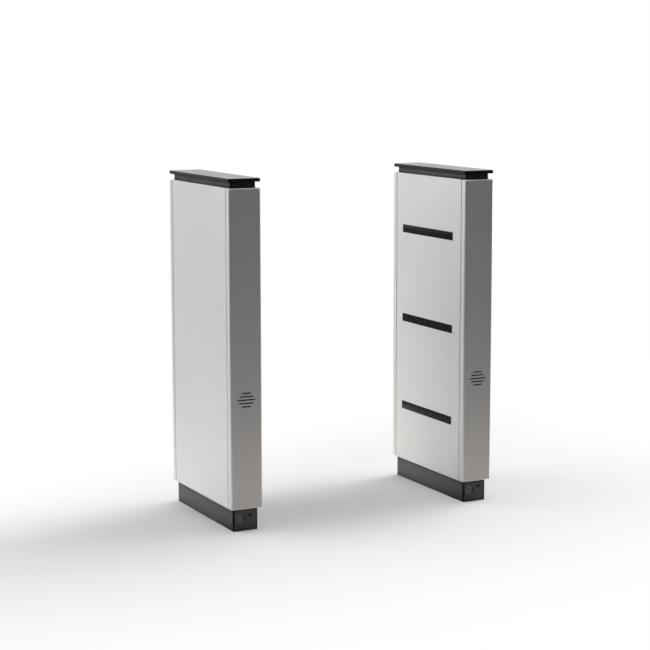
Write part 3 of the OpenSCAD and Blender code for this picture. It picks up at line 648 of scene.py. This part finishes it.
@dataclass
class FoldedSheet:
    """Sheet metal that follows an outline, with folded edges and with openings in its flat stretches."""

    move: Callable[[Vector], Vector]
    outline: list[Station]
    outer: list[Row]
    inner: list[Row]
    closed: bool = False
    openings: dict[int, list[Opening]] = field(default_factory=dict)
    least_cut_height: float = 5.0 * MM
    bm: Mesh = field(default_factory=bmesh.new)

    def build(self) -> Mesh:
        """Makes the sheet.

        Returns:
            A new mesh with the sheet in it.
        """
        outer, inner = (
            [[self.bm.verts.new(self.move(row.at(place))) for row in rows] for place in self.outline]
            for rows in (self.outer, self.inner))
        for start in range(len(self.outline) if self.closed else len(self.outline) - 1):
            self._stretch(outer, self.outer, start)
            self._stretch(inner, self.inner, start)
            for hole in self.openings.get(start, []):
                self._wall(hole, start)
            end = self._next(start)
            for row in (0, -1):
                self._quad(outer[start][row], outer[end][row], inner[end][row], inner[start][row])
        for place in () if self.closed else (0, -1):
            for row in range(min(len(self.outer), len(self.inner)) - 1):
                self._quad(outer[place][row], outer[place][row + 1], inner[place][row + 1], inner[place][row])
        return self.bm

    def _next(self, start: int) -> int:
        """Number of the station after another."""
        return (start + 1) % len(self.outline)

    def _quad(self, *corners: Vert) -> None:
        """Adds a face.

        Args:
            corners: its corners, of which those that fall together count once.
        """
        kept: list[Vert] = []
        for corner in corners:
            if all((corner.co - other.co).length > CLOSE for other in kept):
                kept.append(corner)
        if len(kept) > 2:
            self.bm.faces.new(kept)

    def _stretch(self, grid: list[list[Vert]], rows: list[Row], start: int) -> None:
        """Adds the faces of one surface from a station to the next, cut round the openings there.

        Args:
            grid: the surface's points, by station and line.
            rows: its lines.
            start: number of the station.
        """
        near, far = grid[start], grid[self._next(start)]
        for row, (lower, upper) in enumerate(zip(rows, rows[1:])):
            corners = near[row], far[row], far[row + 1], near[row + 1]
            upright = lower.inset == upper.inset and lower.limit is upper.limit is None
            if start in self.openings and upright and upper.z - lower.z > self.least_cut_height:
                self._cut_face(corners, lower, upper, start)
            else:
                self._quad(*corners)

    def _cut_face(self, corners: Sequence[Vert], lower: Row, upper: Row, start: int) -> None:
        """Fills a flat stretch round its openings with triangles, and on its outer face round their chamfers.

        Args:
            corners: the stretch's corners.
            lower: the line along its bottom.
            upper: the line along its top.
            start: number of the station that it starts at.
        """
        first, last = self._ends(start)
        half = (last - first).length / 2
        points = [Vector((u, z)) for u, z in ((-half, lower.z), (half, lower.z),
                                              (half, upper.z), (-half, upper.z))]
        edges = [(0, 1), (1, 2), (2, 3), (3, 0)]
        known = [*corners]
        for hole in self.openings[start]:
            loop = hole.loop(hole.chamfer if lower.inset == 0 else 0.0)
            edges += [(len(points) + k, len(points) + (k + 1) % len(loop)) for k in range(len(loop))]
            points += [Vector(point) for point in loop]
            known += self._ring(loop, lower.inset, start)
        made, _, faces, origins, _, _ = delaunay_2d_cdt(points, edges, [], 0, CLOSE)
        for face in faces:
            middle = sum((made[k] for k in face), Vector((0, 0))) / len(face)
            if not any(hole.holds(middle) for hole in self.openings[start]):
                self.bm.faces.new([known[origins[k][0]] for k in face])

    def _ends(self, start: int) -> list[Vector]:
        """The two places on the floor plan that a stretch lies between."""
        return [Vector((self.outline[k].x, self.outline[k].y, 0)) for k in (start, self._next(start))]

    def _ring(self, loop: list[Point2], depth: float, start: int) -> list[Vert]:
        """Adds the points of a hole's outline.

        Args:
            loop: the outline, in places along the stretch and heights.
            depth: how far below the stretch's outer face it lies.
            start: number of the station that the stretch starts at.

        Returns:
            The new points.
        """
        first, last = self._ends(start)
        along = (last - first).normalized()
        middle = (first + last) / 2 - Vector((self.outline[start].nx, self.outline[start].ny, 0)) * depth
        return [self.bm.verts.new(self.move(middle + along * u + Vector((0, 0, z)))) for u, z in loop]

    def _wall(self, hole: Opening, start: int) -> None:
        """Adds the chamfer and the wall of one opening.

        Args:
            hole: the opening.
            start: number of the station that its stretch starts at.
        """
        tallest = max(zip(self.inner, self.inner[1:]), key=lambda pair: pair[1].z - pair[0].z)
        levels = [(hole.chamfer, 0.0)] if hole.chamfer else []
        levels += [(0.0, hole.chamfer), (0.0, tallest[0].inset)]
        join_rings(self.bm, [self._ring(hole.loop(grow), depth, start) for grow, depth in levels])


def join_rings(bm: Mesh, rings: Sequence[Sequence[Vert]]) -> None:
    """Adds the faces between rings of points.

    Args:
        bm: the mesh that they go into.
        rings: the rings, each with as many points as the others.
    """
    for lower, upper in zip(rings, rings[1:]):
        for k in range(len(lower)):
            n = (k + 1) % len(lower)
            bm.faces.new((lower[k], lower[n], upper[n], upper[k]))


def soft_box(bm: Mesh, low: Triple, high: Triple, bevel: float, steps: int = 2) -> None:
    """Adds a block with rounded edges.

    Args:
        bm: the mesh that it goes into.
        low: lowest corner.
        high: highest corner.
        bevel: width of the rounding.
        steps: pieces in the rounding.
    """
    made = bmesh.ops.create_cube(bm, size=1.0)["verts"]
    size, middle = Vector(high) - Vector(low), (Vector(high) + Vector(low)) / 2
    for vert in made:
        vert.co = vert.co * size + middle
    edges = {edge for vert in made for edge in vert.link_edges}
    bmesh.ops.bevel(bm, geom=list(edges), offset=bevel, segments=steps, affect="EDGES", profile=0.5)


def rod(bm: Mesh, start: Vector, profile: Sequence[Point2], sides: int) -> None:
    """Adds a turned piece with flat ends that lies along Y.

    Args:
        bm: the mesh that it goes into.
        start: the point on its axis where the profile starts.
        profile: distance along the axis and radius of each ring.
        sides: sides of the piece.
    """
    turns = [(math.cos(angle), -math.sin(angle)) for angle in (2 * math.pi * k / sides for k in range(sides))]
    rings = [[bm.verts.new(start + Vector((radius * c, along, radius * s))) for c, s in turns]
             for along, radius in profile]
    join_rings(bm, rings)
    bm.faces.new(rings[0])
    bm.faces.new(rings[-1])


def finish_mesh(bm: Mesh, name: str) -> Piece:
    """Turns a mesh under construction into an object with smooth curves and crisp edges.

    Args:
        bm: the mesh, which is freed.
        name: the new piece's name.

    Returns:
        The new object, linked into the scene.
    """
    bmesh.ops.remove_doubles(bm, verts=bm.verts, dist=2 * CLOSE)
    bmesh.ops.recalc_face_normals(bm, faces=bm.faces)
    mesh = bpy.data.meshes.new(name)
    bm.to_mesh(mesh)
    bm.free()
    mesh.shade_smooth()
    mesh.set_sharp_from_angle(angle=math.radians(CRISP_ANGLE))
    obj = bpy.data.objects.new(name, mesh)
    bpy.context.scene.collection.objects.link(obj)
    return obj


# Sub-assemblies


@dataclass
class Workshop:
    """What every sub-assembly needs to finish its pieces."""

    palette: Palette
    replaced: set[str] = field(default_factory=set)

    def deliver(self, bm: Mesh, node: str, ending: str, slot: str, body: str = "pedestals") -> Piece:
        """Turns a mesh into a finished piece.

        Args:
            bm: the mesh, which is freed.
            node: the CAD node that the piece replaces.
            ending: what its name has after the node's.
            slot: the record's material slot.
            body: the body that it rides on.

        Returns:
            The piece.
        """
        obj = finish_mesh(bm, f"{node}_{ending}")
        obj.data.materials.append(self.palette.get(slot))
        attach(obj, body)
        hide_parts(node)
        self.replaced.add(node)
        LOG.info("%s: %d faces, %s", obj.name, len(obj.data.polygons), slot)
        return obj


def middle_of(node: str) -> Vector:
    """Middle of a CAD node's box."""
    low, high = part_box(node)
    return (low + high) / 2


@dataclass
class Sensing:
    """Sensor windows of one pedestal."""

    side: Side
    shop: Workshop
    count: int = 3
    flange: float = 6.0 * MM
    height: float = 25.0 * MM
    gap: float = 0.15 * MM
    flange_depth: float = 2.0 * MM
    flange_edge: float = 0.3 * MM
    pane_start: float = 0.5 * MM
    pane_edge: float = 0.35 * MM
    cut_radius: float = 0.6 * MM
    cut_chamfer: float = 0.25 * MM

    @property
    def node(self) -> str:
        """The CAD node of this pedestal's windows."""
        return self.side.node("sensor_windows")

    def heights(self) -> list[float]:
        """Spaces the windows evenly.

        Returns:
            Height of each window's middle, from the lowest up.
        """
        low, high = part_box(self.node)
        first, last = low.z + self.flange + self.height / 2, high.z - self.flange - self.height / 2
        return [first + k * (last - first) / (self.count - 1) for k in range(self.count)]

    def openings(self) -> list[Opening]:
        """Fits the inner panel's openings to the windows.

        Returns:
            The openings, from the lowest up.
        """
        low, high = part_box(self.node)
        return [Opening((low.y + high.y) / 2, z, (high.y - low.y) / 2 - self.flange, self.height / 2,
                        self.cut_radius, self.cut_chamfer) for z in self.heights()]

    def build(self) -> None:
        """Builds the windows, each a pane with a flange behind the panel."""
        low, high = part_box(self.node)
        lane = self.side.lane
        near, far = (low.x, high.x) if lane > 0 else (high.x, low.x)
        bm = bmesh.new()
        slabs = ((near, near + lane * self.flange_depth, 0.0, self.flange_edge),
                 (near + lane * self.pane_start, far, self.flange + self.gap, self.pane_edge))
        for z in self.heights():
            for x0, x1, inset, edge in slabs:
                rise = self.height / 2 + self.flange - inset
                soft_box(bm, (min(x0, x1), low.y + inset, z - rise), (max(x0, x1), high.y - inset, z + rise),
                         edge, steps=3)
        self.shop.deliver(bm, self.node, "panes", "dark_window")


@dataclass
class Cabinet:
    """End covers and side panels of one pedestal."""

    side: Side
    shop: Workshop
    sheet: float = 2.0 * MM
    bend: float = 3.4 * MM
    corner: float = 5.0 * MM
    seam: float = 1.8 * MM
    seam_ease: float = 0.4 * MM
    fold_radius: float = 0.6 * MM
    side_room: float = 1.0 * MM
    tilt_room: float = 1.5 * MM
    shoulder_room: float = 0.5 * MM
    slot_pitch: float = 9.6 * MM
    slot_half_height: float = 2.0 * MM
    slot_half_lengths: tuple[float, ...] = (14.58 * MM, 22.0 * MM, 27.5 * MM, 22.0 * MM, 14.58 * MM)
    slot_chamfer: float = 0.3 * MM
    cut_edge: float = 0.3 * MM
    cut_angle: float = 50.0
    holder_x: float = 18.0 * MM
    holder_start: float = 1.2 * MM
    hook_half: float = 10.0 * MM
    hook_sheet: float = 1.5 * MM
    hook_room: float = 0.3 * MM
    hook_edge: float = 0.2 * MM
    lip_place: float = 4.2 * MM
    lip_sheet: float = 2.0 * MM
    lip_drop: float = 6.0 * MM
    stud_shares: Point2 = (0.1, 0.9)
    stud_radius: float = 2.5 * MM
    stud_length: float = 8.0 * MM
    spacer_radius: float = 5.0 * MM
    stud_edge: float = 0.3 * MM
    stud_sides: int = 24

    def build(self) -> None:
        """Builds both covers and both panels."""
        for end in End:
            self._cover(end)
        for facing in (self.side.lane, -self.side.lane):
            self._panel(facing)

    def _soften(self, obj: Piece) -> None:
        """Rounds the cut edges of a sheet a little, so that they catch the light.

        Args:
            obj: the sheet's piece.
        """
        modifier = obj.modifiers.new("cut edges", "BEVEL")
        modifier.width = self.cut_edge
        modifier.segments = 2
        modifier.limit_method = "ANGLE"
        modifier.angle_limit = math.radians(self.cut_angle)
        modifier.harden_normals = True

    def _cover(self, end: End) -> None:
        """Builds the cover of one end, with its slots and its hooks or studs.

        Args:
            end: the end that it closes.
        """
        front = end is End.FRONT
        node = self.side.node("front_cover" if front else "rear_cover")
        low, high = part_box(node)
        half_x = (high.x - low.x) / 2
        back = self.side.box("outer_panel")[1].y + self.seam
        arc_x, arc_y = half_x - self.corner, max(-low.y, high.y) - self.corner
        neck_low, neck_high = self.side.box("neck")
        fold = ((neck_high.x - neck_low.x) / 2 + self.side_room, neck_high.y + self.tilt_room)
        outline = [Station(half_x, -back, 1, 0), *arc_stations((arc_x, -arc_y), self.corner, (0, -90))]
        flat = len(outline) - 1
        outline += [*arc_stations((-arc_x, -arc_y), self.corner, (-90, -180)), Station(-half_x, -back, -1, 0)]
        half_count = (len(self.slot_half_lengths) - 1) / 2
        grille = middle_of(self.side.node("front_mesh")).z
        slots = [Opening(0, grille + (k - half_count) * self.slot_pitch, length, self.slot_half_height,
                         self.slot_half_height, self.slot_chamfer)
                 for k, length in enumerate(self.slot_half_lengths)]
        outer, inner = (bent_rows(low.z, high.z, self.bend, depth, fold, fold) for depth in (0, self.sheet))
        turn = Matrix.Rotation(0 if front else math.pi, 4, "Z")
        shift = Vector(((high.x + low.x) / 2, 0, 0))
        bm = FoldedSheet(lambda point: turn @ point + shift, outline, outer, inner,
                         openings={flat: slots}).build()
        if front:
            self._hooks(bm, shift.x, low.y)
        else:
            self._studs(bm, low, high)
        self._soften(self.shop.deliver(bm, node, "skin", "cabinet_steel", node if front else "pedestals"))

    def _hooks(self, bm: Mesh, middle: float, face: float) -> None:
        """Adds the two tongues that hang over the front post, each with a lip behind it.

        Args:
            bm: the cover's mesh.
            middle: the cover's middle on X.
            face: place of its face on Y.
        """
        post_low, post_high = self.side.box("front_post")
        bottom = post_high.z + self.hook_room
        lip = post_low.y + self.lip_place
        for x in (middle - self.holder_x, middle + self.holder_x):
            for y, z in ((face + self.holder_start, bottom), (lip, bottom - self.lip_drop)):
                soft_box(bm, (x - self.hook_half, y, z),
                         (x + self.hook_half, lip + self.lip_sheet, bottom + self.hook_sheet), self.hook_edge)

    def _studs(self, bm: Mesh, low: Vector, high: Vector) -> None:
        """Adds the spacers and threaded studs of the rear cover.

        Args:
            bm: the cover's mesh.
            low: the cover's lowest corner.
            high: its highest corner.
        """
        web = self.side.box("rear_post")[1].y
        for sx in (-1, 1):
            for share in self.stud_shares:
                place = (low.x + high.x) / 2 + sx * self.holder_x, low.z + share * (high.z - low.z)
                for radius, start in ((self.stud_radius, web - self.stud_length), (self.spacer_radius, web)):
                    profile = ((0, radius - self.stud_edge), (self.stud_edge, radius),
                               (high.y - self.holder_start - start, radius))
                    rod(bm, Vector((place[0], start, place[1])), profile, self.stud_sides)

    def _panel(self, facing: int) -> None:
        """Builds a side panel.

        Args:
            facing: the sign of the direction along X in which it faces.
        """
        lane_side = facing == self.side.lane
        node = self.side.node("inner_panel" if lane_side else "outer_panel")
        low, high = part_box(node)
        middle = middle_of(self.side.node("base_plate")).x
        inside, half_x = sorted((abs(low.x - middle), abs(high.x - middle)))
        shoulder = self.side.box("neck")[1].x - middle + self.shoulder_room
        end = high.y - self.seam_ease
        arc_x, arc_y = half_x - self.sheet, end - self.sheet
        outline = [Station(shoulder, -end, 0, -1),
                   *tight_corner((arc_x, -arc_y), self.fold_radius, self.sheet, (-90, 0))]
        flat = len(outline) - 1
        outline += [*tight_corner((arc_x, arc_y), self.fold_radius, self.sheet, (0, 90)),
                    Station(shoulder, end, 0, 1)]
        outer, inner = (bent_rows(low.z, high.z, self.sheet, depth, (inside, arc_y), (shoulder, arc_y))
                        for depth in (0, self.sheet))
        openings = {flat: Sensing(self.side, self.shop).openings()} if lane_side else {}
        bm = FoldedSheet(lambda point: Vector((middle + facing * point.x, point.y, point.z)), outline, outer,
                         inner, openings=openings).build()
        self._soften(self.shop.deliver(bm, node, "skin", "cabinet_steel"))


@dataclass
class Sleeve:
    """A closed ring of black sheet with round corners, such as a plinth or a neck."""

    side: Side
    shop: Workshop
    corner: float = 5.0 * MM
    wall: float = 3.0 * MM
    rounding: float = 1.5 * MM
    steps: int = 3

    def _ring(self, node: str, ending: str, holes: Mapping[str, list[Opening]]) -> None:
        """Builds the ring in its node's box.

        Args:
            node: the CAD node that it replaces.
            ending: what the piece's name ends in.
            holes: the openings of its front, right, rear and left side.
        """
        low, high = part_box(node)
        x, y = (high.x - low.x) / 2 - self.corner, (high.y - low.y) / 2 - self.corner
        shift = Vector(((high.x + low.x) / 2, 0, 0))
        outline: list[Station] = []
        openings: dict[int, list[Opening]] = {}
        for name, sx, sy, start in (("right", 1, -1, -90), ("rear", 1, 1, 0), ("left", -1, 1, 90),
                                    ("front", -1, -1, 180)):
            outline += arc_stations((sx * x, sy * y), self.corner, (start, start + 90))
            if name in holes:
                openings[len(outline) - 1] = holes[name]
        bm = FoldedSheet(lambda point: point + shift, outline,
                         bent_rows(low.z, high.z, self.rounding, 0, steps=self.steps),
                         [Row(self.wall, low.z), Row(self.wall, high.z)], True, openings).build()
        self.shop.deliver(bm, node, ending, "black_paint")


@dataclass
class Foot(Sleeve):
    """Plinth of one pedestal, with the holes of lock and set screw in both ends."""

    lock_radius: float = 12.5 * MM
    lock_chamfer: float = 2.2 * MM
    screw_radius: float = 5.0 * MM
    screw_chamfer: float = 0.4 * MM

    def build(self) -> None:
        """Builds the plinth."""
        node = self.side.node("plinth")
        lock = middle_of(self.side.node("lock_housing"))
        low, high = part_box("plinth_screws")
        screw_x = high.x - (high.z - low.z) / 2 - middle_of(Side.RIGHT.node("base_plate")).x
        holes = [round_hole(lock.x - middle_of(node).x, lock.z, self.lock_radius, self.lock_chamfer),
                 round_hole(screw_x, (low.z + high.z) / 2, self.screw_radius, self.screw_chamfer)]
        self._ring(node, "sleeve", {"front": holes, "rear": holes})


@dataclass
class Crown(Sleeve):
    """Neck of one pedestal, with the holes of the set screws that hold the cap."""

    wall: float = 2.5 * MM
    rounding: float = 0.3 * MM
    steps: int = 2
    screw_radius: float = 3.5 * MM
    screw_chamfer: float = 0.3 * MM
    side_screw_share: float = 0.198

    def build(self) -> None:
        """Builds the neck."""
        length = self.side.box("rear_cover")[1].y - self.side.box("front_cover")[0].y
        end, side = ([round_hole(along, middle_of("neck_screws").z, self.screw_radius, self.screw_chamfer)]
                     for along in (0, -self.side_screw_share * length))
        self._ring(self.side.node("neck"), "collar", {"front": end, "rear": end, "right": side, "left": side})


@dataclass
class CarriedOver:
    """CAD nodes that keep their shape and get a procedural finish."""

    shop: Workshop

    def build(self) -> None:
        """Repaints every node that no piece replaces."""
        for part in frame["record"]["subparts"]:
            node, slot = part["node"], part["material_slot"]
            if node not in self.shop.replaced:
                materials = frame["nodes"][node].data.materials
                materials.clear()
                materials.append(self.shop.palette.get(slot))
                LOG.info("%s: carried over, %s", node, slot)


# Studio


@dataclass(frozen=True)
class Glow:
    """A broad soft light far off in the studio: where it stands, how tight it is and how strong."""

    toward: Triple
    tightness: float
    strength: float


@dataclass
class Studio:
    """Camera, floor, background and lights."""

    focal: float = 1798.52
    frame_px: float = 650.0
    sensor_mm: float = 36.0
    far_limit: float = 200.0
    eye: Triple = (-2.416898, -4.741613, 1.330027)
    yaw: float = 0.467733
    pitch: float = 0.147848
    roll: float = -0.001084
    glows: tuple[Glow, ...] = (
        Glow((-0.80, 0.60, 0.0), 6.0, 5.9), Glow((-0.94, -0.34, 0.0), 6.0, 0.4),
        Glow((1.0, 0.30, 0.0), 3.0, 0.5), Glow((0.60, 0.16, 0.78), 8.0, 3.0),
        Glow((-0.60, 0.16, 0.78), 8.0, 1.1))
    front_dim: float = 0.04
    rear_line: Point2 = (-0.35, 0.45)
    above_line: Point2 = (0.35, 0.75)
    floor_half: float = 40.0
    floor_color: float = 0.825
    # A painted pool of light in the floor's colour for bounced light: its middle, reach and levels.
    bounce_middle: Point2 = (-0.12, 0.22)
    bounce_reach: Point2 = (0.6, 2.0)
    near_bounce: float = 0.86
    far_bounce: float = 0.12
    # Painted shadow: spots where the floor's colour for bounced light is darker, beside the front of each
    # pedestal.
    painted_shadow_spots: tuple[Point2, ...] = ((-0.49, -0.17), (0.27, -0.17))
    painted_shadow_reach: Point2 = (0.02, 0.18)
    painted_shadow_level: float = 0.25
    white_middle: Point2 = (-0.515, 1.987)
    white_ring: Point2 = (1.81, 3.39)
    white_toward: Triple = (-0.363, 0.932, 0.0)
    white_line: Point2 = (0.145, 0.854)
    shine_line: Point2 = (11.0, 25.0)
    warmth: Triple = (1.0, 0.955, 0.925)
    lamp_place: Triple = (3.4, 0.73, 1.1)
    lamp_aim: Triple = (0.2, 0.0, 0.1)
    lamp_size: Point2 = (1.4, 0.8)
    lamp_watts: float = 38.0

    def build(self) -> None:
        """Builds everything round the object."""
        bpy.context.scene.view_settings.view_transform = "Standard"
        self._camera()
        self._world()
        self._floor()
        self._lamp()

    def _camera(self) -> None:
        """Sets the camera at the photograph's place and angle."""
        data = bpy.data.cameras.new("photograph view")
        data.sensor_width = self.sensor_mm
        data.lens = self.focal / self.frame_px * self.sensor_mm
        data.clip_end = self.far_limit
        camera = bpy.data.objects.new("photograph view", data)
        ahead = Vector((math.sin(self.yaw) * math.cos(self.pitch), math.cos(self.yaw) * math.cos(self.pitch),
                        -math.sin(self.pitch)))
        right = ahead.cross(Vector((0, 0, 1))).normalized()
        up = right.cross(ahead)
        c, s = math.cos(self.roll), math.sin(self.roll)
        turn = Matrix((c * right + s * up, -s * right + c * up, -ahead)).transposed()
        camera.matrix_world = Matrix.Translation(Vector(self.eye)) @ turn.to_4x4()
        bpy.context.scene.collection.objects.link(camera)
        bpy.context.scene.camera = camera

    def _world(self) -> None:
        """White for the camera, for reflections white to the rear and dim in front, and broad soft glows."""
        world = bpy.data.worlds.new("studio")
        bpy.context.scene.world = world
        world.use_nodes = True
        net = Net(world.node_tree)
        net.tree.nodes.clear()
        path = net.place("LightPath")
        light: object = 0.0
        for glow in self.glows:
            facing = net.math("MAXIMUM", net.along("Generated", glow.toward), 0.0)
            lobe = net.math("POWER", facing, glow.tightness)
            light = net.math("ADD", light, net.product(lobe, glow.strength))
        rear = net.soft(net.along("Generated", (0, 1, 0)), self.rear_line, self.front_dim)
        above = net.soft(net.along("Generated", (0, 0, 1)), self.above_line)
        shine = net.product(net.math("MAXIMUM", rear, above), path["Is Glossy Ray"])
        seen = net.math("MAXIMUM", path["Is Camera Ray"], path["Is Transmission Ray"])
        dim = net.math("MAXIMUM", net.product(light, path["Is Diffuse Ray"]), shine)
        sky = net.place("Background", {"Color": (1, 1, 1, 1), "Strength": net.math("MAXIMUM", seen, dim)})
        net.place("OutputWorld", {"Surface": sky[0]})

    def _floor(self) -> None:
        """A pale floor with the shadows, plain white far off, that throws back most light near the object."""
        bm = bmesh.new()
        bmesh.ops.create_grid(bm, x_segments=4, y_segments=4, size=self.floor_half)
        floor = finish_mesh(bm, "floor")
        material = bpy.data.materials.new("studio floor")
        material.use_nodes = True
        net = Net(material.node_tree)
        net.tree.nodes.clear()
        path = net.place("LightPath")
        camera = path["Is Camera Ray"]
        # The floor's colour for bounced light is a painted pool of light: pale near the object, dark far off.
        bounce = net.soft(net.distance(self.bounce_middle), self.bounce_reach, self.near_bounce,
                          self.far_bounce)
        # Paints the shadow spots into the floor's colour for bounced light.
        for shadow_spot in self.painted_shadow_spots:
            bounce = net.product(bounce, net.soft(net.distance(shadow_spot), self.painted_shadow_reach, self.painted_shadow_level))
        tone = net.place("Mix", {"Factor": camera, "A": bounce, "B": self.floor_color})["Result"]
        color = net.place("CombineColor", dict(enumerate(
            net.product(tone, net.math("MAXIMUM", camera, warmth)) for warmth in self.warmth)))
        pale = net.place("BsdfDiffuse", {"Color": color[0]})
        ring = net.soft(net.distance(self.white_middle), self.white_ring)
        line = net.soft(net.along("Object", self.white_toward), self.white_line)
        rear = net.product(path["Is Glossy Ray"], net.soft(net.along("Object", (0, 1, 0)), self.shine_line))
        white = net.math("MAXIMUM", net.product(camera, net.math("MAXIMUM", ring, line)), rear)
        blend = net.place("MixShader", {0: white, 1: pale[0], 2: net.place("Emission")[0]})
        net.place("OutputMaterial", {"Surface": blend[0]})
        floor.data.materials.append(material)

    def _lamp(self) -> None:
        """Adds the soft lamp to the right, low down, which draws the shadows on the floor."""
        data = bpy.data.lights.new("right softbox", "AREA")
        data.shape = "RECTANGLE"
        data.size, data.size_y = self.lamp_size
        data.energy = self.lamp_watts
        lamp = bpy.data.objects.new("right softbox", data)
        lamp.location = self.lamp_place
        lamp.rotation_euler = (Vector(self.lamp_aim) - lamp.location).to_track_quat("-Z", "Y").to_euler()
        bpy.context.scene.collection.objects.link(lamp)


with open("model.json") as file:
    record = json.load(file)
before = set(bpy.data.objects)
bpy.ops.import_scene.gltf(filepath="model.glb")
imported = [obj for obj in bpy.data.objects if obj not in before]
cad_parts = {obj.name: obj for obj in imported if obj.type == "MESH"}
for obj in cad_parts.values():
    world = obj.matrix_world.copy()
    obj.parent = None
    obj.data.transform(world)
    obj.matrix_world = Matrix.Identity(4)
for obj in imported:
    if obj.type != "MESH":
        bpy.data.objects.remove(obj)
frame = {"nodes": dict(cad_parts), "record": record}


def main() -> None:
    """Builds the turnstile's looks and the studio round it."""
    logging.basicConfig(level=logging.INFO, format="%(name)s %(message)s")
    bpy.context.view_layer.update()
    shop = Workshop(Palette(Effects()))
    for side in Side:
        Cabinet(side, shop).build()
        Foot(side, shop).build()
        Crown(side, shop).build()
        Sensing(side, shop).build()
    CarriedOver(shop).build()
    Studio().build()
    bpy.context.view_layer.update()


if __name__ == "__main__":
    main()
